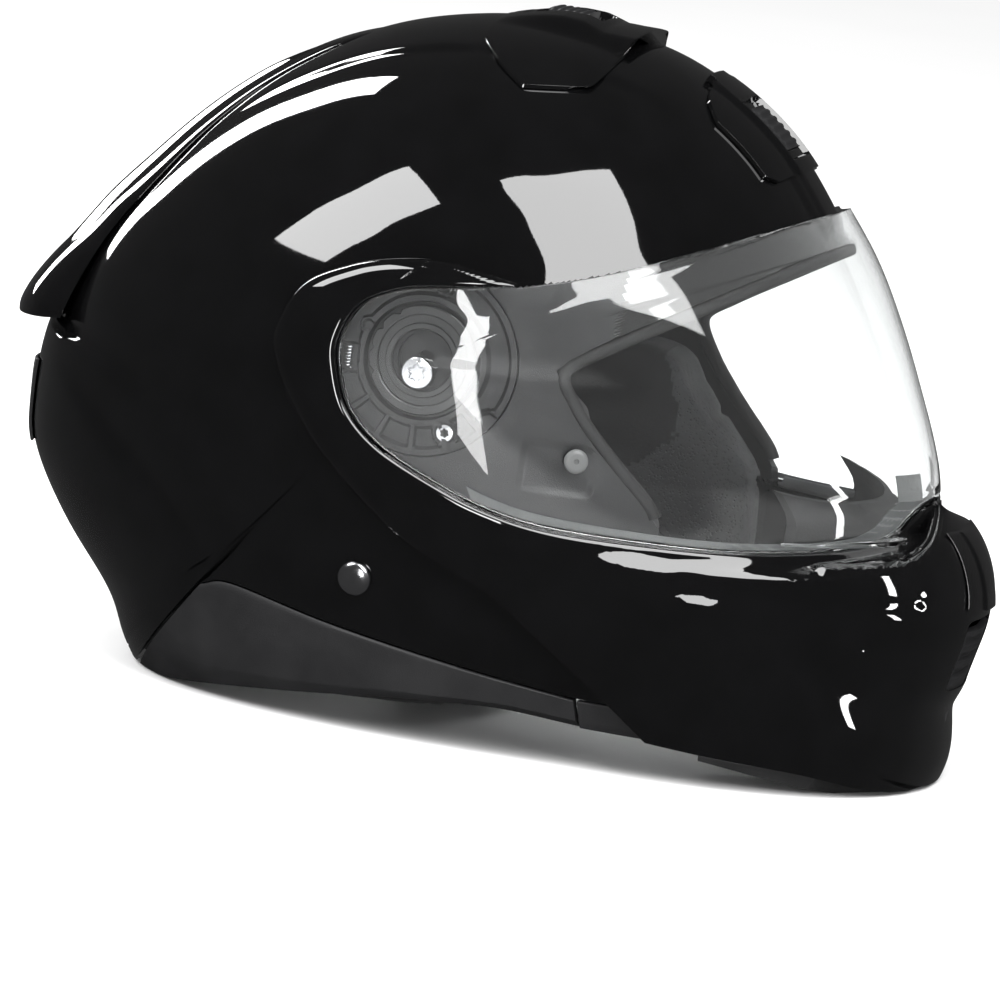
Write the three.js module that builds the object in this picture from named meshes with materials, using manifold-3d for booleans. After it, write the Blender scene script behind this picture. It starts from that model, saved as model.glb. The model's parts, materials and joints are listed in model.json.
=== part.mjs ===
// A modular (flip-up) motorcycle helmet: hard shell, flip-up chin bar, clear visor, drop-down sun visor,
// vents, padding and chin strap, built as separate closed pieces.
//
// Everything is modelled about the side pivot axis: x forward, y to the rider's left, z up, in millimetres.
// The exported group then moves the pivot to its real place above the surface that the helmet stands on.
import * as THREE from "three";
import { mergeVertices } from "three/addons/utils/BufferGeometryUtils.js";
import Module from "manifold-3d";

const wasm = await Module();
wasm.setup();

// ---------------------------------------------------------------- driving dimensions

const PIVOT_HEIGHT = 134; // pivot axis above the surface the helmet stands on
const PIVOT_FORWARD = -5.47; // pivot axis from the middle of the helmet's length
const FLOOR = -PIVOT_HEIGHT; // the surface, seen from the pivot
const SHELL_HALF_WIDTH = 117.5;
const CHIN_HALF_WIDTH = 123.5;
const VISOR_HALF_WIDTH = 120.9;
const SHELL_WALL = 4;
const CHIN_WALL = 3;
const VISOR_WALL = 2;
const GAP = 0.4; // between pieces that touch
const AROUND = 40; // facets round the side profile
const ACROSS = 6; // facets from the side pole to the middle plane
const FINEST = 0.15; // details smaller than this are smoothed away
const WIDE = 300; // longer than the helmet is wide

// Side profile of the body: distance from the pivot axis by angle, 0 forward, 90 up.
const SHELL_PROFILE = [
  [-180, 156], [-174, 163], [-168, 168.5], [-163, 172], [-159, 175], [-148, 172.6], [-140, 170.5],
  [-135.5, 172], [-133, 176], [-124, 182], [-110, 190], [-90, 202], [-70, 210], [-50, 206], [-37, 184],
  [-30, 172], [-22, 164], [-14, 157], [-6, 149], [4, 140.5], [14, 130], [23, 125], [31, 122.6],
  [40, 121], [50, 118.6], [60, 116], [73, 112.4], [90, 110.2], [104, 110.6], [118, 113.4], [129, 116.4],
  [138, 120.6], [149.6, 127.4], [161, 136], [168, 143.4], [174, 149.6],
];
// The fin over the back of the head runs out of the crown into a raised tail.
const SPOILER_PROFILE = [
  [-180, 167], [-177, 172.6], [-174.4, 176], [-172.6, 174.6], [-168, 171.8], [-160, 172], [-90, 200],
  [0, 140], [90, 110], [118, 114.6], [129, 118.9], [138, 123], [149.6, 130], [160.2, 138.4],
  [168.3, 147.9], [174, 155.2],
];
const CHIN_PROFILE = [
  [-180, 215], [-150, 215], [-120, 212], [-95, 210], [-70, 217], [-50, 225], [-42, 224], [-38.5, 221.5],
  [-35.5, 217.5], [-33.2, 210], [-31.2, 206], [-28, 204.4], [-24, 201], [-20.5, 196.8], [-17.5, 191.5],
  [-14, 184], [-9, 172], [0, 160], [20, 165], [50, 185], [80, 205], [130, 215],
];
const VISOR_PROFILE = [
  [-180, 200], [-120, 205], [-80, 205], [-50, 200], [-32, 184], [-20, 171.5], [-11.2, 163.5],
  [-6.4, 156.8], [0, 148.4], [9.2, 139.9], [19.7, 133.2], [28.8, 128.3], [40, 126], [60, 140],
  [90, 175], [130, 195],
];
// Exponents of the cross-section at its crown and at its sides (2 is an ellipse, more is flatter there),
// and how much it narrows between the two.
const ROUNDNESS = [
  [-180, 2.15], [-140, 2.2], [-110, 2.35], [-70, 2.35], [-45, 2.2], [-20, 2.0], [30, 2.0], [90, 2.0],
  [150, 2.05],
];
const FLATNESS = [
  [-180, 2.2], [-140, 2.3], [-110, 2.4], [-70, 2.4], [-45, 2.4], [-20, 2.35], [8, 2.3], [25, 2.1],
  [40, 1.95], [60, 1.9], [90, 2], [150, 2.05],
];
const WAIST = [
  [-180, 0], [-85, 0], [-60, 0.02], [-35, 0.06], [-12, 0.09], [5, 0.068], [20, 0.04], [30, 0.02],
  [42, 0], [120, 0],
];

// Outlines seen from the side: x forward, z up.
const VISOR_TOP = [[135, 68], [113.8, 62.5], [102.9, 56.9], [81.9, 47.7], [55.6, 37.2], [30.6, 29.8]];
const VISOR_ROUND = [
  [30.6, 29.8], [7.2, 26.2], [-9.8, 22.8], [-22.8, 15.4], [-28.4, 3], [-27.1, -8], [-21.6, -20.4],
  [-9.5, -31], [10.7, -40.2], [28.6, -46.4], [49.3, -50.3], [81.6, -51.6], [112.2, -51.2],
  [144.7, -48.1], [155, -43.6], [161, -35], [180, -31],
];
const EAR = [
  [31, 30.6], [16, 33.4], [1.7, 34.8], [-14, 33], [-29, 28.5], [-45, 19.1], [-52.7, 2.3], [-50.6, -9],
  [-44.8, -19.5], [-34, -33.5], [-21.9, -44.8], [-10.5, -54], [1.6, -61.8], [16, -68], [31.1, -74.5],
  [42, -81.4],
];
const ARM_REAR = [[42, -81.4], [58, -93.2], [75.9, -107], [91.1, -120.2]];
const CHIN_BOTTOM = [[91.1, -120.2], [112, -122.6], [141.7, -126], [164, -132], [178, -133.4]];
const EYEPORT_TOP = [[44.8, 3.3], [57.7, 13.6], [83.6, 29.3], [104.8, 42.2], [121, 51.5], [150, 68]];
const EYEPORT_REAR = [[44.8, 3.3], [50.5, -9], [61, -22], [77, -37.5], [85, -47]];
const SKIRT_TOP = [
  [84, -109.6], [64.9, -108.9], [24.9, -103.5], [-22.6, -96.4], [-60, -89.8], [-73, -92.6],
];
const SKIRT_BOTTOM = [
  [-105, -133.6], [-92, -133.6], [-80, -131.8], [-58.4, -128.1], [-34.1, -124.6], [-2.9, -120.2],
  [23.3, -117.8], [41.8, -117.2], [66.6, -119.4],
];

// ---------------------------------------------------------------- curves and forms

/** A smooth periodic curve through [degrees, value] points, as a function of degrees. */
function angularCurve(points) {
  const n = points.length;
  const at = (i) => {
    const turn = Math.floor(i / n);
    const [a, v] = points[i - turn * n];
    return [a + 360 * turn, v];
  };
  const slope = (i) => (at(i + 1)[1] - at(i - 1)[1]) / (at(i + 1)[0] - at(i - 1)[0]);
  return (degrees) => {
    const a = degrees - 360 * Math.floor((degrees - points[0][0]) / 360);
    let i = n - 1;
    while (i > 0 && points[i][0] > a) i--;
    const [a0, v0] = at(i);
    const [a1, v1] = at(i + 1);
    const h = a1 - a0;
    const t = (a - a0) / h;
    const t2 = t * t;
    const t3 = t2 * t;
    return (2 * t3 - 3 * t2 + 1) * v0 + (t3 - 2 * t2 + t) * h * slope(i)
      + (3 * t2 - 2 * t3) * v1 + (t3 - t2) * h * slope(i + 1);
  };
}

const roundness = angularCurve(ROUNDNESS);
const flatness = angularCurve(FLATNESS);
const waist = angularCurve(WAIST);

/** A form is an egg-like closed surface about the pivot axis, from its side profile and half width. */
function form(profile, halfWidth) {
  return { profile: angularCurve(profile), halfWidth };
}

function narrowing(degrees, reach) {
  return 1 - waist(degrees) * Math.sin(Math.PI * Math.min(1, reach)) ** 2;
}

/** Point of a form: degrees round the pivot, share 0 at the side pole to 1 on the middle plane. */
function formPoint(shape, degrees, share, grow) {
  const turn = (share * Math.PI) / 2;
  const reach = Math.sin(turn) ** (2 / flatness(degrees));
  const radius = reach * (shape.profile(degrees) + grow);
  const bulge = Math.cos(turn) ** (2 / roundness(degrees));
  const y = share >= 1 ? 0 : (shape.halfWidth + grow) * bulge * narrowing(degrees, reach);
  const angle = (degrees * Math.PI) / 180;
  return [radius * Math.cos(angle), y, radius * Math.sin(angle)];
}

/** Sideways reach of a form over a point of the side view. */
function formHalfWidth(shape, x, z, grow) {
  const degrees = (Math.atan2(z, x) * 180) / Math.PI;
  const reach = Math.min(1, Math.hypot(x, z) / (shape.profile(degrees) + grow));
  const bulge = (1 - reach ** flatness(degrees)) ** (1 / roundness(degrees));
  return (shape.halfWidth + grow) * bulge * narrowing(degrees, reach);
}

/** Sideways reach of a form that every point of a block clears. */
function blockHalfWidth(shape, x0, x1, z0, z1, grow) {
  return Math.min(...[x0, x1].flatMap((x) => [z0, z1].map((z) => formHalfWidth(shape, x, z, grow))));
}

const SHELL = form(SHELL_PROFILE, SHELL_HALF_WIDTH);
const SPOILER = form(SPOILER_PROFILE, SHELL_HALF_WIDTH + 1);
const CHIN = form(CHIN_PROFILE, CHIN_HALF_WIDTH);
const VISOR = form(VISOR_PROFILE, VISOR_HALF_WIDTH);

// ---------------------------------------------------------------- solids

/** Manifold of a closed three.js geometry. */
function solid(geometry) {
  const bare = geometry.clone();
  bare.deleteAttribute("normal");
  bare.deleteAttribute("uv");
  const merged = mergeVertices(bare, 1e-3);
  return new wasm.Manifold(new wasm.Mesh({
    numProp: 3,
    vertProperties: new Float32Array(merged.attributes.position.array),
    triVerts: new Uint32Array(merged.index.array),
  }));
}

/** Geometry of a manifold. */
function geometryOf(body) {
  const mesh = body.getMesh();
  const positions = new Float32Array(mesh.numVert * 3);
  for (let i = 0; i < mesh.numVert; i++) {
    positions.set(mesh.vertProperties.subarray(i * mesh.numProp, i * mesh.numProp + 3), i * 3);
  }
  const geometry = new THREE.BufferGeometry();
  geometry.setAttribute("position", new THREE.BufferAttribute(positions, 3));
  geometry.setIndex(new THREE.BufferAttribute(new Uint32Array(mesh.triVerts), 1));
  return geometry;
}

/** Solid from vertices and quads (or triangles) that face out. */
function solidFromFaces(vertices, faces) {
  const geometry = new THREE.BufferGeometry();
  geometry.setAttribute("position", new THREE.Float32BufferAttribute(vertices.flat(), 3));
  const corners = faces.flatMap((f) => (f.length === 4 ? [f[0], f[1], f[2], f[0], f[2], f[3]] : f));
  geometry.setIndex(corners);
  return solid(geometry);
}

/** The whole inside of a form, as one closed solid. */
function formSolid(shape, grow = 0, around = AROUND) {
  const vertices = [[0, shape.halfWidth + grow, 0]];
  const rings = 2 * ACROSS - 1;
  for (let ring = 1; ring <= rings; ring++) {
    const side = ring <= ACROSS ? 1 : -1;
    const share = side > 0 ? ring / ACROSS : (2 * ACROSS - ring) / ACROSS;
    for (let i = 0; i < around; i++) {
      const [x, y, z] = formPoint(shape, -180 + (360 * i) / around, share, grow);
      vertices.push([x, side * y, z]);
    }
  }
  vertices.push([0, -shape.halfWidth - grow, 0]);
  const last = vertices.length - 1;
  const at = (ring, i) => 1 + (ring - 1) * around + (i % around);
  const faces = [];
  for (let i = 0; i < around; i++) {
    faces.push([0, at(1, i + 1), at(1, i)]);
    for (let ring = 1; ring < rings; ring++) {
      faces.push([at(ring, i), at(ring, i + 1), at(ring + 1, i + 1), at(ring + 1, i)]);
    }
    faces.push([last, at(rings, i), at(rings, i + 1)]);
  }
  return solidFromFaces(vertices, faces);
}

/** Layer of a form between two distances outside (positive) or inside (negative) its surface. */
function layer(shape, outer, inner) {
  return formSolid(shape, outer).subtract(formSolid(shape, inner));
}

/** Closed side-view outline. Each stretch is a list of points: two make a line, more make a curve. */
function outline(...stretches) {
  const points = [];
  for (const stretch of stretches) {
    const path = stretch.map(([x, z]) => new THREE.Vector2(x, z));
    const curve = new THREE.SplineCurve(path);
    points.push(...(path.length > 2 ? curve.getPoints(Math.ceil(path.length * 1.25)) : path));
  }
  return points.filter((p, i) => i === 0 || p.distanceTo(points[i - 1]) > 0.3)
    .filter((p, i, all) => i < all.length - 1 || p.distanceTo(all[0]) > 0.3);
}

const polygon = (...corners) => corners.map(([x, z]) => new THREE.Vector2(x, z));

/** An outline moved outwards by a distance. */
function grown(points, distance) {
  const n = points.length;
  const turn = THREE.ShapeUtils.area(points) > 0 ? 1 : -1;
  return points.map((p, i) => {
    const before = p.clone().sub(points[(i + n - 1) % n]).normalize();
    const after = points[(i + 1) % n].clone().sub(p).normalize();
    const along = before.add(after).normalize();
    return new THREE.Vector2(p.x + turn * along.y * distance, p.y - turn * along.x * distance);
  });
}

/** Side-view outline extruded across the helmet from y0 to y1. */
function across(points, y0 = -WIDE / 2, y1 = WIDE / 2) {
  const depth = y1 - y0;
  const geometry = new THREE.ExtrudeGeometry(new THREE.Shape(points), { depth, bevelEnabled: false });
  geometry.rotateX(Math.PI / 2);
  geometry.translate(0, y1, 0);
  return solid(geometry);
}

function block(x0, x1, y0, y1, z0, z1) {
  const geometry = new THREE.BoxGeometry(x1 - x0, y1 - y0, z1 - z0);
  geometry.translate((x0 + x1) / 2, (y0 + y1) / 2, (z0 + z1) / 2);
  return solid(geometry);
}

/** The largest body of a solid, without the crumbs that a cut can leave. */
function largest(body) {
  return body.decompose().sort((a, b) => b.volume() - a.volume())[0];
}

/** Cylinder along y. */
function axle(x, z, radius, y0, y1, sides = 20) {
  const geometry = new THREE.CylinderGeometry(radius, radius, Math.abs(y1 - y0), sides);
  geometry.translate(x, (y0 + y1) / 2, z);
  return solid(geometry);
}

/** Closed slab between two point functions of (i, j) on a grid. */
function slab(across_, along, top, bottom) {
  const vertices = [];
  for (const side of [top, bottom]) {
    for (let i = 0; i <= across_; i++) {
      for (let j = 0; j <= along; j++) vertices.push(side(i / across_, j / along));
    }
  }
  const row = along + 1;
  const half = (across_ + 1) * row;
  const faces = [];
  for (let i = 0; i < across_; i++) {
    for (let j = 0; j < along; j++) {
      const a = i * row + j;
      faces.push([a, a + row, a + row + 1, a + 1]);
      faces.push([half + a, half + a + 1, half + a + row + 1, half + a + row]);
    }
  }
  const wall = (a, b) => faces.push([a, b, half + b, half + a]);
  for (let i = 0; i < across_; i++) {
    wall((i + 1) * row, i * row);
    wall(i * row + along, (i + 1) * row + along);
  }
  for (let j = 0; j < along; j++) {
    wall(j, j + 1);
    wall(across_ * row + j + 1, across_ * row + j);
  }
  const body = solidFromFaces(vertices, faces);
  return body.volume() > 0 ? body : solidFromFaces(vertices, faces.map((f) => [...f].reverse()));
}

/** Flat strip of webbing along a path, its width in the direction given. */
function strip(points, width, widthDirection, thickness, steps) {
  const path = new THREE.CatmullRomCurve3(points.map((p) => new THREE.Vector3(...p)));
  const wide = new THREE.Vector3(...widthDirection).normalize();
  const point = (sideways, outwards) => (i, j) => {
    const p = path.getPointAt(j);
    const normal = new THREE.Vector3().crossVectors(path.getTangentAt(j), wide).normalize();
    p.addScaledVector(wide, width * (i - 0.5) + sideways).addScaledVector(normal, outwards);
    return p.toArray();
  };
  return slab(1, steps, point(0, thickness / 2), point(0, -thickness / 2));
}

const mirrored = (body) => body.mirror([0, 1, 0]);
// Paired pieces are made on the right, where y is below 0.
const BOTH_SIDES = [["right", (body) => body], ["left", mirrored]];
const RIGHT_HALF = [-WIDE / 2, -0.01];

// ---------------------------------------------------------------- materials and pieces

function material(color, roughness, metalness = 0, opacity = 1) {
  return new THREE.MeshStandardMaterial({ color, roughness, metalness, opacity, transparent: opacity < 1 });
}
const MATERIALS = {
  glossBlack: material(0x0a0a0b, 0.06),
  mattBlack: material(0x2e2e2f, 0.55),
  rubber: material(0x1c1c1d, 0.75),
  clear: material(0xf4f6f6, 0.03, 0, 0.25),
  smoke: material(0x2a3030, 0.05, 0, 0.6),
  foam: material(0x202022, 0.9),
  fabric: material(0x121213, 0.95),
  webbing: material(0x161617, 0.85),
  steel: material(0xc8c8c8, 0.2, 1),
  red: material(0x8c1414, 0.4),
};

const helmet = new THREE.Group();
helmet.name = "helmet";
helmet.position.set(PIVOT_FORWARD, 0, PIVOT_HEIGHT);

function add(name, body, look) {
  const mesh = new THREE.Mesh(geometryOf(largest(body).simplify(FINEST)), MATERIALS[look]);
  mesh.name = name;
  helmet.add(mesh);
}

/** Adds a right-hand piece and its mirror image. */
function addPair(name, body, look) {
  for (const [side, place] of BOTH_SIDES) add(`${name}_${side}`, place(body), look);
}

// ---------------------------------------------------------------- shared outlines and cutters

const visorOutline = outline(VISOR_TOP, VISOR_ROUND);
const PIVOT_POCKET_RADIUS = 54;
const PIVOT_POCKET_DEPTH = 7;
const pocketFloor = SHELL_HALF_WIDTH - PIVOT_POCKET_DEPTH;
const PIVOT_BOSS = 108.4; // inner face of the thick disc that carries the pivot, from the middle plane
const PIVOT_BOSS_RADIUS = PIVOT_POCKET_RADIUS + 3;
const RIVET = { x: -14.4, z: -78.7, radius: 6.2, shank: 2.6 };
const STRAP_WIDTH = 20;
const BUCKLE = { x: 14, z: -119, y0: -34, y1: -2 };
const rivetRoom = axle(RIVET.x, RIVET.z, 13, -WIDE / 2, WIDE / 2, 12)
  .subtract(axle(RIVET.x, RIVET.z, 14, -98, 98, 12));
/** Room for the strap to pass through the padding. */
const strapTunnel = () => strapWebbing(BUCKLE.y0, 1.4);

const shellOutline = outline(
  EYEPORT_TOP.slice().reverse(), EYEPORT_REAR, [[85, -47], [86, -109]], SKIRT_TOP,
  [[-73, -92.6], [-106.5, -133]], [[-106.5, -133], [-128, -133]], [[-128, -133], [-260, -160]],
  [[-260, -160], [-260, 200]], [[-260, 200], [150, 200]],
);

// The sun visor is a surface of revolution about the pivot axis, so that it slides through one thin slot.
const SUN = {
  radius: 110.5, halfWidth: 106.5, wall: 2, low: 18.5, high: 60, armLow: 30, armHigh: 47, drop: 36,
};
const SUN_LENS_EDGE = 84; // where the lens narrows to its arms
const SUN_ARM_END = 106.1;
function sunRadius(y, grow) {
  return (SUN.radius + grow) * Math.sqrt(Math.max(0, 1 - (y / (SUN.halfWidth + grow)) ** 2));
}
/** Lower or upper edge angle of the sun visor at a distance from the middle plane. */
function sunEdge(y, isTop) {
  const s = Math.abs(y);
  const noseNotch = 4 * Math.exp(-((s / 20) ** 2));
  const toArm = THREE.MathUtils.smoothstep(s, SUN_LENS_EDGE - 14, SUN_LENS_EDGE + 6);
  if (isTop) return SUN.high + (SUN.armHigh - SUN.high) * toArm;
  return SUN.low + noseNotch + (SUN.armLow - SUN.low) * toArm;
}
function sunSurface(outer, inner, below, above, end) {
  const point = (grow) => (i, j) => {
    const side = 2 * j - 1;
    const y = end * Math.sin((side * Math.PI) / 2);
    const degrees = sunEdge(y, false) - below + (sunEdge(y, true) + above - sunEdge(y, false) + below) * i;
    const angle = (degrees * Math.PI) / 180;
    const radius = Math.max(5, sunRadius(y, grow));
    return [radius * Math.cos(angle), y, radius * Math.sin(angle)];
  };
  return slab(4, 14, point(outer), point(inner));
}
const sunSlot = sunSurface(2.2, -SUN.wall - 2.2, SUN.drop + 3, 4, SUN.halfWidth + 1.4);
/** Room in the padding for the sun visor's hub and the boss outside it. */
const hubRoom = axle(0, 0, 15, 98, SHELL_HALF_WIDTH, 16)
  .add(axle(0, 0, PIVOT_BOSS_RADIUS + 1, PIVOT_BOSS - GAP, SHELL_HALF_WIDTH, 28));
const sunHub = hubRoom.add(hubRoom.mirror([0, 1, 0]));

// Inside of the padding: the head's room, round on top and straight below.
const HEAD = { x: -16, length: 106, width: 88, height: 78 };
function headRoom(grow) {
  const profile = [new THREE.Vector2(0, -160), new THREE.Vector2(1, -160)];
  for (let k = 0; k <= 5; k++) {
    const turn = (k / 5) * (Math.PI / 2);
    profile.push(new THREE.Vector2(k === 5 ? 0 : Math.cos(turn), (HEAD.height + grow) * Math.sin(turn)));
  }
  const geometry = new THREE.LatheGeometry(profile, 24);
  geometry.rotateX(Math.PI / 2);
  geometry.scale(HEAD.length + grow, HEAD.width + grow, 1);
  geometry.translate(HEAD.x, 0, 0);
  return solid(geometry);
}

// ---------------------------------------------------------------- shell and what is fixed to it

function outerShell() {
  const pockets = axle(0, 0, PIVOT_POCKET_RADIUS, pocketFloor, WIDE / 2, 32)
    .add(axle(0, 0, PIVOT_POCKET_RADIUS, -pocketFloor, -WIDE / 2, 32));
  let body = layer(SHELL, 0, -SHELL_WALL).intersect(across(shellOutline)).subtract(pockets);
  for (const y of [-14, 14]) {
    const airHole = new THREE.CylinderGeometry(4, 4, 60, 10).rotateX(Math.PI / 2);
    const brow = airHole.clone().rotateY(Math.PI / 4).translate(82, y, 84);
    const crown = airHole.clone().translate(16, y, 105);
    body = body.subtract(solid(brow)).subtract(solid(crown));
  }
  const boss = axle(0, 0, PIVOT_BOSS_RADIUS, PIVOT_BOSS, pocketFloor, 28).intersect(formSolid(SHELL, -1));
  return body.add(boss).add(mirrored(boss))
    .subtract(axle(RIVET.x, RIVET.z, RIVET.shank + 0.3, -WIDE / 2, WIDE / 2, 12));
}

function impactLiner() {
  const region = outline(
    [[112, 56], [96, 42], [76, 29], [52, 14.5]], [[52, 14.5], [38, 3]], [[38, 3], [-12, -12]],
    [[-12, -12], [-16, -104]], [[-16, -104], [-62, -110]], [[-62, -110], [-104, -118]],
    [[-104, -118], [-200, -118]], [[-200, -118], [-200, 160]], [[-200, 160], [160, 160]],
    [[160, 160], [112, 56]],
  );
  return formSolid(SHELL, -SHELL_WALL - GAP).intersect(across(region)).subtract(headRoom(0))
    .subtract(sunSlot).subtract(sunHub)
    .subtract(rivetRoom).subtract(strapTunnel()).subtract(mirrored(strapTunnel()));
}

function crownLiner() {
  const region = polygon(
    [120, 44], [62, 14], [30, -4], [-20, -16], [-24, -92], [-200, -96], [-200, 160], [120, 160],
  );
  return headRoom(-GAP).subtract(headRoom(-9)).intersect(across(region)).subtract(sunSlot);
}

function cheekPad() {
  const region = outline(
    [[-9, -16], [20, -7], [44, -6], [52, -16]], [[52, -16], [66, -31], [80, -45]],
    [[80, -45], [83, -74], [74, -104]], [[74, -104], [20, -110]], [[20, -110], [-13, -102]],
    [[-13, -102], [-9, -16]],
  );
  const latchRoom = block(LATCH.x0 - 2, LATCH.x1 + 2, -120, -76, LATCH.z0 - 8, LATCH.z1 + 2);
  return formSolid(SHELL, -SHELL_WALL - 3).intersect(across(region, -WIDE / 2, -66)).subtract(sunSlot)
    .subtract(sunHub).subtract(strapTunnel()).subtract(latchRoom).subtract(rivetRoom);
}

function neckRoll() {
  const SIDES = 8;
  const STEPS = 16;
  const halfTurn = 118;
  const vertices = [];
  for (let k = 0; k <= STEPS; k++) {
    const around = ((180 - halfTurn + (2 * halfTurn * k) / STEPS) * Math.PI) / 180;
    const taper = 0.72 + 0.28 * Math.sin((k / STEPS) * Math.PI) ** 0.5;
    const x = HEAD.x - 4 + 89 * Math.cos(around);
    const y = 74 * Math.sin(around);
    const z = -117 + 2.5 * Math.cos(around);
    for (let s = 0; s < SIDES; s++) {
      const turn = (2 * Math.PI * s) / SIDES;
      const out = 11 * taper * Math.cos(turn);
      const up = 12 * taper * Math.sin(turn);
      vertices.push([x + out * Math.cos(around), y + out * Math.sin(around), z + up]);
    }
  }
  const faces = [];
  for (let k = 0; k < STEPS; k++) {
    for (let s = 0; s < SIDES; s++) {
      const a = k * SIDES + s;
      const b = k * SIDES + ((s + 1) % SIDES);
      faces.push([a, b, b + SIDES, a + SIDES]);
    }
  }
  for (let s = 1; s < SIDES - 1; s++) {
    faces.push([0, s + 1, s]);
    faces.push([STEPS * SIDES, STEPS * SIDES + s, STEPS * SIDES + s + 1]);
  }
  const body = solidFromFaces(vertices, faces);
  const made = body.volume() > 0 ? body : solidFromFaces(vertices, faces.map((f) => [...f].reverse()));
  return made.intersect(formSolid(SHELL, -11.6)).intersect(headRoom(-1))
    .subtract(block(-14, 99, -99, 99, -111.2, -80))
    .subtract(strapTunnel()).subtract(mirrored(strapTunnel()));
}

/** Rubber bulb along the top and rear edges of the eyeport. */
function eyeportSeal() {
  const edge = outline(EYEPORT_TOP.slice().reverse(), EYEPORT_REAR);
  const inner = outline(
    [[150, 62], [120, 46.6], [105, 37.6], [84, 24.6], [59, 9.6], [49.6, 2]],
    [[49.6, 2], [54.4, -8.6], [64.4, -20.4], [80, -35.4], [85, -42.5]],
  );
  return layer(SHELL, 1.1, -5).intersect(across(grown([...edge, ...inner.reverse()], -GAP)));
}

/** Fin on the back of the crown, narrow at the front and wide at its tail. */
function rearSpoiler() {
  const WIDTH_AT_TAIL = 54;
  const WIDTH_AT_TOP = 17;
  const region = polygon([-60, 130], [-60, 90], [-150, -16], [-230, -28], [-200, 130]);
  const plan = new THREE.Shape([
    new THREE.Vector2(-58, -WIDTH_AT_TOP), new THREE.Vector2(-58, WIDTH_AT_TOP),
    new THREE.Vector2(-140, WIDTH_AT_TAIL), new THREE.Vector2(-230, WIDTH_AT_TAIL + 8),
    new THREE.Vector2(-230, -WIDTH_AT_TAIL - 8), new THREE.Vector2(-140, -WIDTH_AT_TAIL),
  ]);
  const seenFromAbove = new THREE.ExtrudeGeometry(plan, { depth: WIDE, bevelEnabled: false });
  seenFromAbove.translate(0, 0, -WIDE / 2);
  return formSolid(SPOILER, 0, 2 * AROUND).subtract(formSolid(SHELL, GAP)).intersect(across(region))
    .intersect(solid(seenFromAbove));
}

function exhaustGrille() {
  const region = polygon([-130, -34], [-130, -62], [-230, -66], [-230, -36]);
  let body = layer(SHELL, 1.6, GAP).intersect(across(region, -42, 42));
  for (const y of [-30, -18, -6, 6, 18, 30]) {
    body = body.subtract(block(-230, -120, y - 3.6, y + 3.6, -60, -42));
  }
  return body;
}

function topVentHousing() {
  const wings = outline(
    [[-15, 140], [-14, 104]], [[-14, 104], [-2, 97], [9, 91.5]], [[9, 91.5], [31, 93.5]],
    [[31, 93.5], [37, 106]], [[37, 106], [37, 140]],
  );
  const hump = outline(
    [[-13, 104], [-13, 111.2]], [[-13, 111.2], [-3, 114], [8, 116.1], [16, 116.1]],
    [[16, 116.1], [23, 113.2]], [[23, 113.2], [35.4, 114.4]], [[35.4, 114.4], [36.4, 112.5]],
    [[36.4, 112.5], [33, 104]],
  );
  const SLIDE_ROOM = block(-7, 20, -9.4, 9.4, 112.6, 130);
  return layer(SHELL, 1.6, GAP).intersect(across(wings))
    .add(across(hump, -27, 27).subtract(formSolid(SHELL, GAP))).subtract(SLIDE_ROOM);
}

function topVentSlider() {
  const side = outline(
    [[1, 113], [1, 115.2]], [[1, 115.2], [6, 116.3], [11, 116.3]], [[11, 116.3], [15.6, 115.2]],
    [[15.6, 115.2], [15.6, 113]],
  );
  return across(side, -9, 9);
}

function foreheadVentHousing() {
  const region = polygon([60, 120], [66, 93], [84, 74], [96, 69], [108, 76], [130, 120]);
  const mouth = block(70, 130, -13, 13, 70, 100);
  return layer(SHELL, 3.2, GAP).intersect(across(region, -36, 36)).subtract(mouth);
}

function foreheadVentSlider() {
  const region = polygon([76, 110], [82, 80], [94, 70], [130, 96]);
  return layer(SHELL, 2.6, 0.6).intersect(across(region, -9, 9)).intersect(block(80, 130, -9, 9, 76, 94));
}

const skirtOutline = outline(
  SKIRT_TOP.map(([x, z]) => [x, z - 0.6]).slice(1), [[-72, -93.2], [-105, -133.6]], SKIRT_BOTTOM,
  [[66.6, -119.4], [64.9, -109.3]],
);
const tipOutline = polygon([65.6, -109.4], [83.4, -109.9], [90.6, -121], [67.2, -119.6]);

const skirt = () => layer(SHELL, 1, -3.4).intersect(across(skirtOutline, ...RIGHT_HALF));
const skirtTip = () => layer(SHELL, 0.8, -3).intersect(across(tipOutline, ...RIGHT_HALF));

/** Rubber lip under the shell's rear edge: one of the two places the helmet stands on. */
function rearEdgeTrim() {
  const region = polygon([-98, FLOOR], [-98, -124], [-200, -124], [-200, FLOOR]);
  return layer(SHELL, -SHELL_WALL - GAP, -11).intersect(across(region));
}

function strapRivet() {
  const y = formHalfWidth(SHELL, RIVET.x, RIVET.z, 0);
  const head = new THREE.SphereGeometry(RIVET.radius, 14, 6);
  head.scale(1, 0.5, 1).translate(RIVET.x, -y - 0.6, RIVET.z);
  const body = solid(head).add(axle(RIVET.x, RIVET.z, RIVET.shank, -y + 7.5, -y, 12));
  const shankHole = axle(RIVET.x, RIVET.z, RIVET.shank + 0.1, -WIDE / 2, WIDE / 2, 12);
  return body.subtract(layer(SHELL, 0.3, -SHELL_WALL - 0.3).subtract(shankHole));
}

function sunPivotPin() {
  return axle(0, 0, 4, -PIVOT_BOSS + GAP, -99.4, 14).add(axle(0, 0, 8, -PIVOT_BOSS + GAP, -107, 16));
}

const LATCH = { x0: 66, x1: 84, z0: -104, z1: -93 };
function latchReceiver() {
  const { x0, x1, z0, z1 } = LATCH;
  const y = blockHalfWidth(SHELL, x0, x1, z0, z1, -SHELL_WALL - 2.5);
  return block(x0, x1, -y, -y + 10, z0, z1).subtract(block(x0 + 8, x1 + 1, -y + 3, -y + 7, z0 + 3, z1 + 1));
}

// ---------------------------------------------------------------- chin bar and what rides on it

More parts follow.
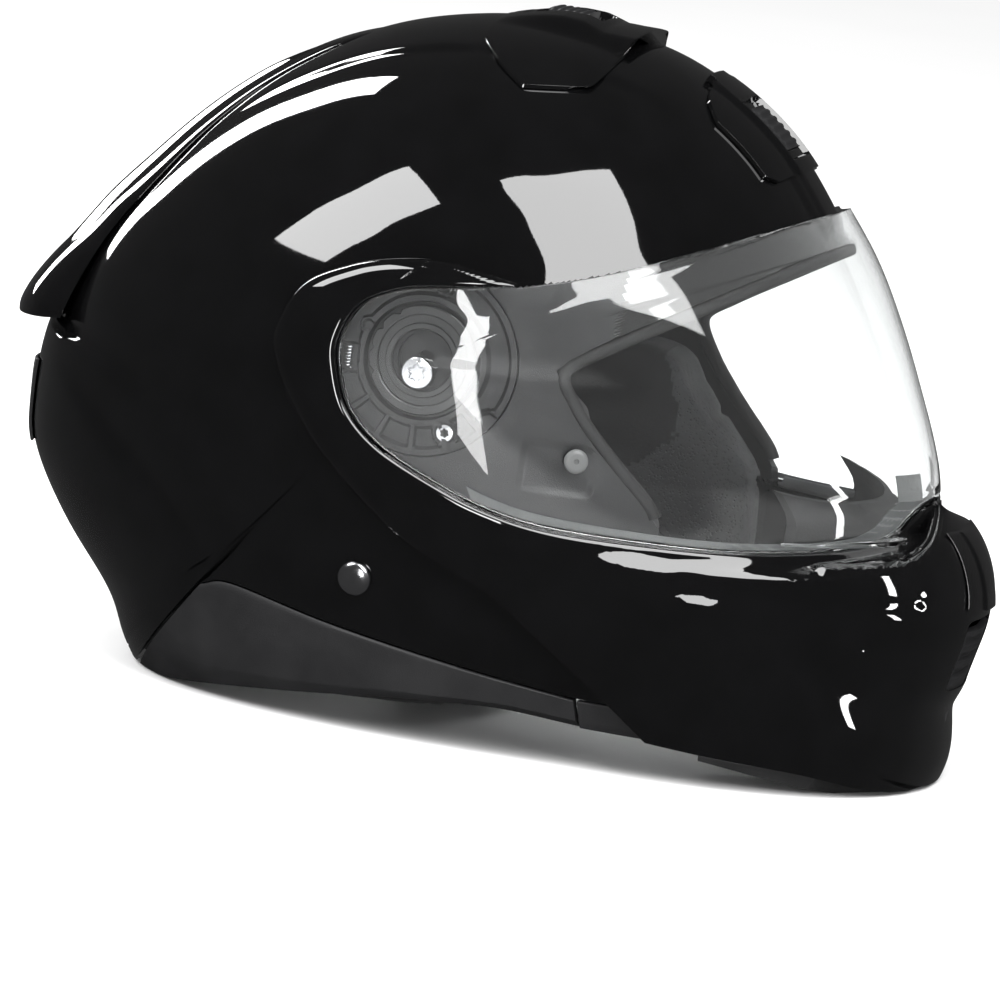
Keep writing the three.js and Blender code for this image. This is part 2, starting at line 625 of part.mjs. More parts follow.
const visorOpening = across(grown(visorOutline, 0.9));
const chinOutline = outline(
  [[180, -20], [31, 30.6]], EAR, ARM_REAR, CHIN_BOTTOM,
  [[178, -133.4], [260, -133.4]], [[260, -133.4], [260, -20]],
);

function chinBar() {
  const ventMouth = block(150, 220, -20, 20, -98, -72);
  return layer(CHIN, 0, -CHIN_WALL).intersect(across(chinOutline))
    .subtract(visorOpening).subtract(ventMouth);
}

const CHIN_FOAM = 31.5; // inner face of the foam, from the outside of the chin bar
function chinLiner() {
  const region = polygon([112, -62], [200, -52], [200, -123], [150, -119], [112, -117]);
  return formSolid(CHIN, -CHIN_WALL - GAP).subtract(formSolid(CHIN, -CHIN_FOAM)).intersect(across(region))
    .subtract(block(140, 220, -21, 21, -99, -71));
}

const BUTTON = { x0: 151, x1: 163, y: 12 };
function chinEdgeTrim() {
  const region = polygon(
    [108, -119], [150, -123], [240, -123.5], [240, FLOOR], [150, FLOOR], [108, -125],
  );
  const { x0, x1, y } = BUTTON;
  const buttonHole = block(x0 - GAP, x1 + GAP, -y - GAP, y + GAP, FLOOR - 5, -110);
  return layer(CHIN, -CHIN_WALL - GAP, -28).intersect(across(region)).subtract(buttonHole);
}

function breathGuard() {
  const region = polygon([122, -46], [200, -41], [200, -66], [122, -70]);
  return layer(CHIN, -CHIN_FOAM - 0.5, -CHIN_FOAM - 3.1).intersect(across(region));
}

/** Rubber gasket the visor's lower edge closes on, just inside it. */
function visorGasket() {
  const upper = outline([[88, -46.8], [112, -46.6], [143, -43.6], [153, -39], [159, -30]]);
  const lower = outline([[166, -37], [157, -47], [146, -51.8], [112, -55.2], [88, -55.6]]);
  const band = [...upper, ...lower];
  return layer(VISOR, -VISOR_WALL - 0.5, -VISOR_WALL - 4.6).intersect(across(band));
}

/** What is left of a body under the visor, wherever the visor stands between closed and open. */
function underVisor(body) {
  const inside = formSolid(VISOR, -VISOR_WALL - 0.7);
  const swung = [0, 0.5, 1].map((share) => inside.rotate([0, -VISOR_SWING * share, 0]));
  return swung.reduce((left, one) => left.intersect(one), body);
}
const VISOR_SWING = 34;
const RING = { inner: 10.5, outer: 19, bottom: pocketFloor + 3.8 };
/** Plate in the pivot pocket: held under the chin bar's ears, it carries the visor. */
function basePlate() {
  return underVisor(axle(0, 0, PIVOT_POCKET_RADIUS - 6, -VISOR_HALF_WIDTH, -pocketFloor - 0.5, 28))
    .intersect(block(-60, 29, -WIDE, WIDE, -60, 36)).intersect(across(grown(outline(EAR), -2)))
    .subtract(axle(0, 0, 9.3, -WIDE / 2, WIDE / 2, 24))
    .subtract(axle(0, 0, RING.outer + 0.5, -WIDE / 2, -RING.bottom + 0.4, 28))
    .subtract(axle(11.3, -23.3, 3.6, -WIDE / 2, WIDE / 2, 14));
}

/** Toothed ring round the pivot that turns with the visor and gives its click stops. */
function ratchetRing() {
  let ring = axle(0, 0, RING.outer, -VISOR_HALF_WIDTH, -RING.bottom, 24)
    .subtract(axle(0, 0, RING.inner, -WIDE / 2, WIDE / 2, 20));
  for (let k = 0; k < 5; k++) {
    const turn = Math.PI * (0.62 + 0.14 * k);
    const [x, z] = [RING.outer * Math.cos(turn), RING.outer * Math.sin(turn)];
    ring = ring.subtract(axle(x, z, 2, -WIDE / 2, WIDE / 2, 8));
  }
  return underVisor(ring);
}

const pivotBolt = () => underVisor(axle(0, 0, 8.6, -VISOR_HALF_WIDTH, -pocketFloor - 0.7, 20));
const plateScrew = () => underVisor(axle(11.3, -23.3, 3.2, -VISOR_HALF_WIDTH, -pocketFloor - 0.7, 12));

function latchPin() {
  const y = blockHalfWidth(CHIN, LATCH.x1 + 4, LATCH.x1 + 10, LATCH.z0, LATCH.z1, -CHIN_WALL - 1);
  return axle(LATCH.x1 + 7, (LATCH.z0 + LATCH.z1) / 2, 2.5, -y, -y + 12, 12);
}

/** Flap over the chin vent: it rocks out about its top edge. */
const CHIN_FLAP_HINGE = [166.5, -42];
function chinVentFlap() {
  const region = polygon([160, -41.4], [200, -41.4], [220, -67], [160, -67]);
  return layer(CHIN, 2.4, 0.5).intersect(across(region, -23, 23));
}

function chinIntakeGrille() {
  const y = 19.4;
  let body = layer(CHIN, -0.6, -CHIN_WALL).intersect(block(150, 220, -y, y, -97.4, -72.6));
  for (const z of [-92.5, -86.5, -80.5]) {
    body = body.subtract(block(150, 220, -y + 3, y - 3, z - 1.3, z + 1.3));
  }
  return body;
}

function releaseButton() {
  return block(BUTTON.x0, BUTTON.x1, -BUTTON.y, BUTTON.y, -132.6, -125.5);
}

// ---------------------------------------------------------------- visor

function visorShield() {
  return layer(VISOR, 0, -VISOR_WALL).intersect(across(visorOutline));
}

const PINLOCK = { x: 56.3, z: -26.5, radius: 4.2 };
function pinlockPin() {
  const y = formHalfWidth(VISOR, PINLOCK.x, PINLOCK.z, 0);
  return axle(PINLOCK.x, PINLOCK.z, PINLOCK.radius, -y - 1.6, -y + 6, 14)
    .subtract(layer(VISOR, 0.4, -VISOR_WALL - 0.4))
    .intersect(formSolid(VISOR, 8)).subtract(formSolid(VISOR, -VISOR_WALL + 0.1));
}

/** Thumb tab that stands out from the visor's lower edge, on the rider's right. */
function visorTab() {
  const region = polygon([132, -45.4], [154, -41], [160, -46.4], [134, -49]);
  return layer(VISOR, 6.4, GAP).intersect(across(region, -80, -34));
}

// ---------------------------------------------------------------- sun visor and its slider

const SLIDER = { x0: 28, x1: 46, z0: -121, z1: -112, travel: 25 };
function sunVisor() {
  const hub = axle(0, 0, 12, 103, 106.4, 20);
  const hole = axle(0, 0, 4.5, -WIDE / 2, WIDE / 2, 16);
  return sunSurface(0, -SUN.wall, 0, 0, SUN_ARM_END).add(hub).add(mirrored(hub)).subtract(hole);
}

/** Thumb slider under the shell's lower left rim. */
function sunSlider() {
  const { x0, x1, z0, z1, travel } = SLIDER;
  const y = blockHalfWidth(SHELL, x0 - travel, x1, z0, z1, -SHELL_WALL - 1.5);
  return block(x0, x1, y - 6, y, z0, z1);
}

// ---------------------------------------------------------------- chin strap

function strapWebbing(end, room = 0) {
  const path = [
    [RIVET.x, -103, RIVET.z + 3 + room * 3], [RIVET.x + 1, -101, RIVET.z - 12], [-6, -90, -104],
    [6, -68, -115], [12, -50, -118.6], [BUCKLE.x, end, BUCKLE.z],
  ];
  return strip(path, STRAP_WIDTH + 2 * room, [1, 0, 0], 1.6 + 2 * room, 12);
}

function buckleBody() {
  const side = polygon(
    [-13, -3.4], [13, -3.4], [13, 3.4], [10.6, 3.4], [10.6, -1.6], [-10.6, -1.6], [-10.6, 3.4], [-13, 3.4],
  );
  return across(side, BUCKLE.y0, BUCKLE.y1).translate([BUCKLE.x, 0, BUCKLE.z]);
}

const TONGUE = { y0: -26, y1: 30 };
function ratchetTongue() {
  let body = block(BUCKLE.x - 7, BUCKLE.x + 7, TONGUE.y0, TONGUE.y1, BUCKLE.z - 1.2, BUCKLE.z + 0.6);
  for (let k = 0; k < 8; k++) {
    const y = TONGUE.y0 + 4 + 3.4 * k;
    body = body.add(block(BUCKLE.x - 5, BUCKLE.x + 5, y, y + 1.6, BUCKLE.z + 0.5, BUCKLE.z + 1.5));
  }
  return body;
}

const LEVER_HINGE = { y: -29, z: BUCKLE.z + 3.2 };
function buckleLever() {
  const plate = block(BUCKLE.x - 9.6, BUCKLE.x + 9.6, LEVER_HINGE.y, -1, BUCKLE.z + 2.4, BUCKLE.z + 4.4);
  const tab = block(BUCKLE.x - 9.6, BUCKLE.x + 9.6, -1.2, 5, BUCKLE.z + 3, BUCKLE.z + 5.6);
  return plate.add(tab);
}

const leverPin = () => {
  const pin = new THREE.CylinderGeometry(1.1, 1.1, 20.6, 10).rotateZ(Math.PI / 2);
  pin.translate(BUCKLE.x, LEVER_HINGE.y - 1.6, LEVER_HINGE.z);
  return solid(pin);
};

// ---------------------------------------------------------------- assembly

add("outer_shell", outerShell(), "glossBlack");
add("impact_liner", impactLiner(), "foam");
add("crown_liner", crownLiner(), "fabric");
addPair("cheek_pad", cheekPad(), "fabric");
add("neck_roll", neckRoll(), "fabric");
add("eyeport_seal", eyeportSeal(), "rubber");
add("rear_spoiler", rearSpoiler(), "glossBlack");
add("exhaust_grille", exhaustGrille(), "mattBlack");
add("top_vent_housing", topVentHousing(), "glossBlack");
add("forehead_vent_housing", foreheadVentHousing(), "glossBlack");
addPair("lower_skirt", skirt(), "mattBlack");
addPair("intercom_cover", skirtTip(), "mattBlack");
add("rear_edge_trim", rearEdgeTrim(), "rubber");
addPair("strap_rivet", strapRivet(), "steel");
addPair("sun_visor_pin", sunPivotPin(), "mattBlack");
addPair("latch_receiver", latchReceiver(), "mattBlack");
add("strap_webbing_right", strapWebbing(BUCKLE.y0 - 0.5), "webbing");
add("strap_webbing_left", mirrored(strapWebbing(-TONGUE.y1 - 0.5)), "webbing");
add("buckle_body", buckleBody(), "steel");
add("lever_pin", leverPin(), "steel");

add("top_vent_slider", topVentSlider(), "glossBlack");
add("forehead_vent_slider", foreheadVentSlider(), "mattBlack");

add("chin_bar", chinBar(), "glossBlack");
add("chin_liner", chinLiner(), "foam");
add("chin_edge_trim", chinEdgeTrim(), "rubber");
add("breath_guard", breathGuard(), "rubber");
add("visor_gasket", visorGasket(), "rubber");
add("chin_intake_grille", chinIntakeGrille(), "mattBlack");
addPair("base_plate", basePlate(), "mattBlack");
addPair("pivot_bolt", pivotBolt(), "steel");
addPair("plate_screw", plateScrew(), "steel");
addPair("latch_pin", latchPin(), "steel");

add("chin_vent_flap", chinVentFlap(), "glossBlack");
add("release_button", releaseButton(), "red");

add("visor_shield", visorShield(), "clear");
addPair("ratchet_ring", ratchetRing(), "mattBlack");
addPair("pinlock_pin", pinlockPin(), "clear");
add("visor_tab", visorTab(), "clear");

add("sun_visor", sunVisor(), "smoke");
add("sun_visor_slider", sunSlider(), "mattBlack");

add("ratchet_tongue", ratchetTongue(), "mattBlack");
add("buckle_lever", buckleLever(), "red");

export default helmet;
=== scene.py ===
"""Looks of a flip-up motorcycle helmet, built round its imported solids."""

import json
import math

import bmesh
import bpy
import numpy as np
from mathutils import Matrix, Vector


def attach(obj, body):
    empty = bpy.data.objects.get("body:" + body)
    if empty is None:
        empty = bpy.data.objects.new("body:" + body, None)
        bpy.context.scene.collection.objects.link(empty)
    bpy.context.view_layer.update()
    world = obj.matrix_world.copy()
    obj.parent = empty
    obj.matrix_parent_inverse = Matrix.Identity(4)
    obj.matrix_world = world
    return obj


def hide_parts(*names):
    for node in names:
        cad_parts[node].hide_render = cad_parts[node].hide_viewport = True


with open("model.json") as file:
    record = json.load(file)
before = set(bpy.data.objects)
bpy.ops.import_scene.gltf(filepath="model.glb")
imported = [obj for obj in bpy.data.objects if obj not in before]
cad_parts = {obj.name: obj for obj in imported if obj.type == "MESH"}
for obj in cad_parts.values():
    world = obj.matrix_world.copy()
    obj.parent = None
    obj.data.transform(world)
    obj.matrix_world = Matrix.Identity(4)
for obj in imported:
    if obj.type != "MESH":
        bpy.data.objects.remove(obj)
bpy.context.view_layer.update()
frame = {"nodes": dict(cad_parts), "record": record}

# Everything is modelled in millimetres about the side pivot axis: x forward, y to the left, z up.
MM = 0.001
PIVOT_X, PIVOT_Z = -5.47, 134.0

# ---------------------------------------------------------------- forms of the body

SHELL_PROFILE = [
    (-180, 156), (-174, 163), (-168, 168.5), (-163, 172), (-159, 175), (-148, 172.6), (-140, 170.5),
    (-135.5, 172), (-133, 176), (-124, 182), (-110, 190), (-90, 202), (-70, 210), (-50, 206), (-37, 184),
    (-30, 172), (-22, 164), (-14, 157), (-6, 149), (4, 140.5), (14, 130), (23, 125), (31, 122.6),
    (40, 121),
    (50, 118.6), (60, 116), (73, 112.4), (90, 110.2), (104, 110.6), (118, 113.4), (129, 116.4),
    (138, 120.6),
    (149.6, 127.4), (161, 136), (168, 143.4), (174, 149.6),
]
SPOILER_PROFILE = [
    (-180, 167), (-177, 172.6), (-174.4, 176), (-172.6, 174.6), (-168, 171.8), (-160, 172), (-90, 200),
    (0, 140), (90, 110), (118, 114.6), (129, 118.9), (138, 123), (149.6, 130), (160.2, 138.4),
    (168.3, 147.9), (174, 155.2),
]
CHIN_PROFILE = [
    (-180, 215), (-150, 215), (-120, 212), (-95, 210), (-70, 217), (-50, 225), (-42, 224), (-38.5, 221.5),
    (-35.6, 217.8), (-33.7, 212.4), (-31.7, 206), (-30, 205.6), (-26.4, 202.7), (-22.6, 199.8),
    (-19.8, 195.7),
    (-18, 191.9), (-15.9, 185.9), (-14, 178.2), (-12.8, 170), (-11, 160), (-6, 152), (0, 155), (20, 165),
    (50, 185), (80, 205), (130, 215),
]
VISOR_PROFILE = [
    (-180, 200), (-120, 205), (-80, 205), (-50, 200), (-32, 184), (-20, 171.5), (-11.2, 163.5),
    (-6.4, 156.8),
    (0, 148.4), (9.2, 139.9), (19.7, 133.2), (28.8, 128.3), (40, 126), (60, 140), (90, 175), (130, 195),
]
ROUNDNESS = [
    (-180, 2.15), (-140, 2.2), (-110, 2.35), (-70, 2.35), (-45, 2.2), (-20, 2.0), (30, 2.0), (90, 2.0),
    (150, 2.05),
]
FLATNESS = [
    (-180, 2.2), (-140, 2.3), (-110, 2.4), (-70, 2.4), (-45, 2.4), (-20, 2.35), (8, 2.3), (25, 2.1),
    (40, 1.95), (60, 1.9), (90, 2.0), (150, 2.05),
]
WAIST = [
    (-180, 0), (-85, 0), (-60, 0.02), (-35, 0.06), (-12, 0.09), (5, 0.068), (20, 0.04), (30, 0.02),
    (42, 0), (120, 0),
]

# Outlines seen from the side.
VISOR_TOP = [(135, 68), (113.8, 62.5), (102.9, 56.9), (81.9, 47.7), (55.6, 37.2), (30.6, 29.8)]
VISOR_ROUND = [
    (30.6, 29.8), (7.2, 26.2), (-9.8, 22.8), (-22.8, 15.4), (-28.4, 3), (-27.1, -8), (-21.6, -20.4),
    (-9.5, -31), (10.7, -40.2), (28.6, -46.4), (49.3, -50.3), (81.6, -51.6), (112.2, -51.2),
    (144.7, -48.1),
    (155, -43.6), (161, -35), (180, -31),
]
EAR = [
    (31, 30.6), (16, 33.4), (1.7, 34.8), (-14, 33), (-29, 28.5), (-45, 19.1), (-52.7, 2.3), (-50.6, -9),
    (-44.8, -19.5), (-34, -33.5), (-21.9, -44.8), (-10.5, -54), (1.6, -61.8), (16, -68), (31.1, -74.5),
    (42, -81.4),
]
ARM_REAR = [(42, -81.4), (58, -93.2), (75.9, -107), (91.1, -120.2)]
CHIN_BOTTOM = [(91.1, -120.2), (112, -122.6), (141.7, -126), (164, -132), (178, -133.4)]
EYEPORT_TOP = [(44.8, 3.3), (57.7, 13.6), (83.6, 29.3), (104.8, 42.2), (121, 51.5), (150, 68)]
EYEPORT_REAR = [(44.8, 3.3), (50.5, -9), (61, -22), (77, -37.5), (85, -47)]
SKIRT_TOP = [(84, -109.6), (64.9, -108.9), (24.9, -103.5), (-22.6, -96.4), (-60, -89.8), (-73, -92.6)]
SKIRT_BOTTOM = [
    (-105, -133.6), (-92, -133.6), (-80, -131.8), (-58.4, -128.1), (-34.1, -124.6), (-2.9, -120.2),
    (23.3, -117.8), (41.8, -117.2), (66.6, -119.4),
]

STEPS = 1440  # samples of an angular curve


def angular(points, blur):
    """Smooth periodic curve through (degrees, value) points, blurred by so many degrees."""
    a = np.array([p[0] for p in points], float)
    v = np.array([p[1] for p in points], float)
    a3 = np.concatenate([a - 360, a, a + 360])
    v3 = np.tile(v, 3)
    slope = np.gradient(v3, a3)
    slope[1:-1] = (v3[2:] - v3[:-2]) / (a3[2:] - a3[:-2])
    x = -180 + 360 * np.arange(STEPS) / STEPS
    i = np.clip(np.searchsorted(a3, x, side="right") - 1, 0, len(a3) - 2)
    h = a3[i + 1] - a3[i]
    t = (x - a3[i]) / h
    y = ((2 * t**3 - 3 * t**2 + 1) * v3[i] + (t**3 - 2 * t**2 + t) * h * slope[i]
         + (3 * t**2 - 2 * t**3) * v3[i + 1] + (t**3 - t**2) * h * slope[i + 1])
    k = np.fft.rfftfreq(STEPS, d=360 / STEPS) * 2 * math.pi
    y = np.fft.irfft(np.fft.rfft(y) * np.exp(-0.5 * (k * blur) ** 2), STEPS)
    x = np.append(x, 180.0)
    y = np.append(y, y[0])
    return lambda degrees: np.interp((np.asarray(degrees) + 180) % 360 - 180, x, y)


roundness, flatness, waist = (angular(table, 5) for table in (ROUNDNESS, FLATNESS, WAIST))


class Form:
    """Egg-like closed surface about the pivot axis, from its side profile and half width."""

    def __init__(self, profile, half_width, blur=1.6):
        self.radius = angular(profile, blur)
        self.half_width = half_width

    def side(self, degrees, reach, grow=0.0):
        """Sideways distance at a share of the profile's radius."""
        reach = np.clip(reach, 0, 1)
        bulge = (1 - reach ** flatness(degrees)) ** (1 / roundness(degrees))
        return (self.half_width + grow) * bulge * (1 - waist(degrees) * np.sin(math.pi * reach) ** 2)

    def height(self, x, z, grow=0.0):
        """Sideways distance over a point of the side view."""
        degrees = np.degrees(np.arctan2(z, x))
        return self.side(degrees, np.hypot(x, z) / (self.radius(degrees) + grow), grow)

    def share(self, degrees, radius, grow=0.0):
        """Even parameter, 0 at the side pole to 1 on the middle plane, of a radius."""
        reach = np.clip(radius / (self.radius(degrees) + grow), 0, 1)
        return np.arcsin(reach ** (flatness(degrees) / 2)) * 2 / math.pi

    def point(self, degrees, share, grow=0.0):
        reach = np.sin(share * math.pi / 2) ** (2 / flatness(degrees))
        radius = reach * (self.radius(degrees) + grow)
        y = np.where(share >= 1 - 1e-9, 0, self.side(degrees, reach, grow))
        turn = np.radians(degrees)
        return np.stack([radius * np.cos(turn), y, radius * np.sin(turn)], -1)

    def at_width(self, degrees, y, grow=0.0):
        """Point of the form at an angle and a distance from the middle plane."""
        low, high = np.zeros(np.shape(degrees)), np.ones(np.shape(degrees))
        for _ in range(40):
            middle = (low + high) / 2
            inside = self.side(degrees, middle, grow) > np.abs(y)
            low, high = np.where(inside, middle, low), np.where(inside, high, middle)
        radius = low * (self.radius(degrees) + grow)
        turn = np.radians(degrees)
        return np.stack([radius * np.cos(turn), y, radius * np.sin(turn)], -1)


SHELL = Form(SHELL_PROFILE, 117.5)
SPOILER = Form(SPOILER_PROFILE, 118.5, 0.7)
CHIN = Form(CHIN_PROFILE, 123.5, 0.8)
VISOR = Form(VISOR_PROFILE, 120.9)


def curve(points, per=16):
    """Dense smooth curve through points."""
    p = np.array(points, float)
    if len(p) == 2:
        t = np.linspace(0, 1, per)[:, None]
        return p[0] * (1 - t) + p[1] * t
    ends = np.vstack([2 * p[0] - p[1], p, 2 * p[-1] - p[-2]])
    out = []
    for i in range(len(p) - 1):
        a, b, c, d = ends[i : i + 4]
        t = np.linspace(0, 1, per, endpoint=False)[:, None]
        out.append(0.5 * (2 * b + (c - a) * t + (2 * a - 5 * b + 4 * c - d) * t**2
                          + (3 * b - a - 3 * c + d) * t**3))
    return np.vstack(out + [p[-1:]])


def bound(*stretches, grow=0.0):
    """Distance from the pivot to an outline, as a function of the angle."""
    points = np.vstack([curve(s) for s in stretches])
    degrees = np.degrees(np.unwrap(np.arctan2(points[:, 1], points[:, 0])))
    radius = np.hypot(points[:, 0], points[:, 1]) + grow
    if degrees[-1] < degrees[0]:
        degrees, radius = degrees[::-1], radius[::-1]
    keep = np.concatenate([[True], np.diff(np.maximum.accumulate(degrees)) > 1e-4])
    degrees, radius = degrees[keep], radius[keep]

    def at(angle):
        angle = np.asarray(angle, float)
        return np.interp((angle - degrees[0]) % 360 + degrees[0], degrees, radius)

    at.span = (degrees[0], degrees[-1])
    return at


def resample(points, count, smooth=True):
    """Evenly spaced points along a smooth or straight line."""
    p = curve(points) if smooth else np.array(points, float)
    run = np.concatenate([[0], np.cumsum(np.linalg.norm(np.diff(p, axis=0), axis=1))])
    at = np.linspace(0, run[-1], count)
    return np.stack([np.interp(at, run, p[:, k]) for k in range(p.shape[1])], -1)


def on_form(form, points, grow=0.0):
    """Right-hand side points of a form over points of the side view."""
    p = np.asarray(points, float)
    return np.stack([p[..., 0], -form.height(p[..., 0], p[..., 1], grow), p[..., 1]], -1)


def smooth_step(x, low, high):
    t = np.clip((np.asarray(x, float) - low) / (high - low), 0, 1)
    return t * t * (3 - 2 * t)


# ---------------------------------------------------------------- meshes

def to_row(points):
    """Row frame, in metres."""
    return (np.asarray(points, float) + [PIVOT_X, 0, PIVOT_Z]) * MM


def mesh_object(name, points, faces, material, body, angle=40, replaces=()):
    """New piece from points in millimetres about the pivot, with its faces turned outwards."""
    mesh = bpy.data.meshes.new(name)
    mesh.from_pydata([tuple(p) for p in to_row(points)], [], [tuple(int(k) for k in f) for f in faces])
    bm = bmesh.new()
    bm.from_mesh(mesh)
    bmesh.ops.remove_doubles(bm, verts=bm.verts, dist=2e-6)
    bmesh.ops.dissolve_degenerate(bm, edges=bm.edges, dist=1e-6)
    bmesh.ops.recalc_face_normals(bm, faces=bm.faces)
    bm.to_mesh(mesh)
    bm.free()
    obj = bpy.data.objects.new(name, mesh)
    bpy.context.scene.collection.objects.link(obj)
    if material:
        mesh.materials.append(material)
    shade(obj, angle)
    finish_piece(obj, body, replaces)
    return obj


def finish_piece(obj, body, replaces=()):
    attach(obj, body)
    if replaces:
        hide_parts(*([replaces] if isinstance(replaces, str) else replaces))


def shade(obj, angle=40):
    obj.data.shade_smooth()
    bm = bmesh.new()
    bm.from_mesh(obj.data)
    limit = math.radians(angle)
    for edge in bm.edges:
        edge.smooth = not (len(edge.link_faces) == 2 and edge.calc_face_angle(0) > limit)
    bm.to_mesh(obj.data)
    bm.free()


def bevel(obj, width, segments=2, angle=35):
    m = obj.modifiers.new("edges", "BEVEL")
    m.width = width * MM
    m.segments = segments
    m.limit_method = "ANGLE"
    m.angle_limit = math.radians(angle)
    m.use_clamp_overlap = True
    weighted = obj.modifiers.new("normals", "WEIGHTED_NORMAL")
    weighted.keep_sharp = False
    weighted.weight = 80
    return obj


def apply_modifiers(obj):
    graph = bpy.context.evaluated_depsgraph_get()
    made = bpy.data.meshes.new_from_object(obj.evaluated_get(graph))
    obj.modifiers.clear()
    obj.data = made
    return obj


def cut(obj, cutter):
    """Takes a closed body away from a piece."""
    m = obj.modifiers.new("cut", "BOOLEAN")
    m.operation = "DIFFERENCE"
    m.solver = "EXACT"
    m.object = cutter
    apply_modifiers(obj)
    bpy.data.objects.remove(cutter)
    shade(obj)
    return obj


def grid_faces(rows, columns, offset=0, wrap=False):
    """Quads of a grid of points stored row by row; wrap joins the last row to the first."""
    faces = []
    for i in range(rows if wrap else rows - 1):
        a, b = offset + i * columns, offset + ((i + 1) % rows) * columns
        faces += [(a + j, b + j, b + j + 1, a + j + 1) for j in range(columns - 1)]
    return faces


def thick(outer, inner, wrap=False, open_last=None):
    """Closed body between two grids [row, column, xyz], the inner one with as many rows.
    open_last marks the rows whose last point is on the middle plane, where the other half joins on."""
    rows, columns = outer.shape[:2]
    few = inner.shape[1]
    points = np.vstack([outer.reshape(-1, 3), inner.reshape(-1, 3)])
    half = rows * columns
    faces = grid_faces(rows, columns, 0, wrap) + [f[::-1] for f in grid_faces(rows, few, half, wrap)]
    is_open = np.zeros(rows, bool) if open_last is None else open_last
    for i in range(rows if wrap else rows - 1):
        k = (i + 1) % rows
        faces.append((i * columns, half + i * few, half + k * few, k * columns))
        if not (is_open[i] and is_open[k]):
            a, b = i * columns + columns - 1, half + i * few + few - 1
            c, d = k * columns + columns - 1, half + k * few + few - 1
            faces.append((a, b, d, c))
    if not wrap:
        for i in (0, rows - 1):
            top = [i * columns + j for j in range(columns)]
            low = [half + i * few + j for j in range(few)]
            faces.append(tuple(top + low[::-1]))
    return points, faces


def both_halves(points, faces):
    mirror = points * [1, -1, 1]
    return np.vstack([points, mirror]), faces + [tuple(k + len(points) for k in f[::-1]) for f in faces]


def pair(maker, name, replaces=None):
    """Makes a right-hand piece and its mirror image with maker(name, sign, replaced node)."""
    return [maker(f"{name}_{side}", sign, f"{replaces}_{side}" if replaces else ())
            for side, sign in (("right", 1), ("left", -1))]


def span(start, end, step):
    return np.linspace(start, end, max(2, int(round(abs(end - start) / step)) + 1))


def fan(form, degrees, first, last, columns, grow=0.0, ease=None):
    """Grid of a form's left half between two radii given for each angle."""
    t = np.linspace(0, 1, columns)
    t = t if ease is None else ease(t)
    d = np.asarray(degrees)[:, None]
    low, high = form.share(d, first[:, None]), form.share(d, last[:, None])
    return form.point(np.broadcast_to(d, (len(degrees), columns)), low + (high - low) * t, grow)


def relief(grid, amount):
    """Moves a grid along its own normals by an amount in millimetres for each point."""
    n = np.cross(np.gradient(grid, axis=0), np.gradient(grid, axis=1))
    n = n / np.maximum(np.linalg.norm(n, axis=-1, keepdims=True), 1e-9)
    outward = np.sign(np.sum(n * grid, axis=-1, keepdims=True))
    moved = grid + n * outward * amount[..., None]
    moved[..., 1] = np.where(np.abs(grid[..., 1]) < 1e-6, 0, moved[..., 1])
    return moved


def sweep(path, section, up, closed=False, scale=None):
    """Closed tube: the section's (across, up) points carried along a path."""
    path = np.asarray(path, float)
    tangent = np.roll(path, -1, 0) - np.roll(path, 1, 0) if closed else np.gradient(path, axis=0)
    tangent /= np.linalg.norm(tangent, axis=1, keepdims=True)
    across = np.cross(tangent, np.broadcast_to(np.asarray(up, float), path.shape))
    across /= np.linalg.norm(across, axis=1, keepdims=True)
    lift = np.cross(across, tangent)
    section = np.asarray(section, float)
    size = np.ones(len(path)) if scale is None else np.asarray(scale)
    points = (path[:, None] + size[:, None, None]
              * (section[None, :, :1] * across[:, None] + section[None, :, 1:] * lift[:, None]))
    n, k = len(path), len(section)
    faces = []
    for i in range(n if closed else n - 1):
        a, b = i * k, ((i + 1) % n) * k
        faces += [(a + j, a + (j + 1) % k, b + (j + 1) % k, b + j) for j in range(k)]
    if not closed:
        faces += [tuple(range(k))[::-1], tuple((n - 1) * k + j for j in range(k))]
    return points.reshape(-1, 3), faces


def oval(width, height, count=16, power=2.5):
    t = np.arange(count) * 2 * math.pi / count
    return np.stack([width / 2 * np.sign(np.cos(t)) * np.abs(np.cos(t)) ** (2 / power),
                     height / 2 * np.sign(np.sin(t)) * np.abs(np.sin(t)) ** (2 / power)], -1)


def turned(centre, axis, profile, steps=48, lobes=None):
    """Body of revolution from (radius, height) points; lobes(radius, turn) adds height on top."""
    axis = np.array(axis, float) / np.linalg.norm(axis)
    u = np.cross(axis, [0.3, 0.2, 0.9])
    u /= np.linalg.norm(u)
    v = np.cross(axis, u)
    turn = np.arange(steps) * 2 * math.pi / steps
    points, rings = [], []
    for radius, height in profile:
        if radius < 1e-6:
            rings.append([len(points)])
            points.append(np.array(centre) + axis * (height + (lobes(0.0, 0.0) if lobes else 0)))
            continue
        rings.append(list(range(len(points), len(points) + steps)))
        for t in turn:
            lift = height + (lobes(radius, t) if lobes else 0)
            points.append(np.array(centre) + (u * math.cos(t) + v * math.sin(t)) * radius + axis * lift)
    faces = []
    for a, b in zip(rings, rings[1:]):
        for j in range(steps):
            k = (j + 1) % steps
            if len(a) == 1:
                faces.append((a[0], b[j], b[k]))
            elif len(b) == 1:
                faces.append((a[j], b[0], a[k]))
            else:
                faces.append((a[j], b[j], b[k], a[k]))
    return np.array(points), faces


def dome(radius, height, rise, base, count=10):
    """Profile of a domed head, from its top to the middle of its underside."""
    t = np.linspace(0, math.pi / 2, count)
    top = [(radius * math.sin(a), base + height + rise * math.cos(a)) for a in t]
    return top + [(radius, base), (0, base)]


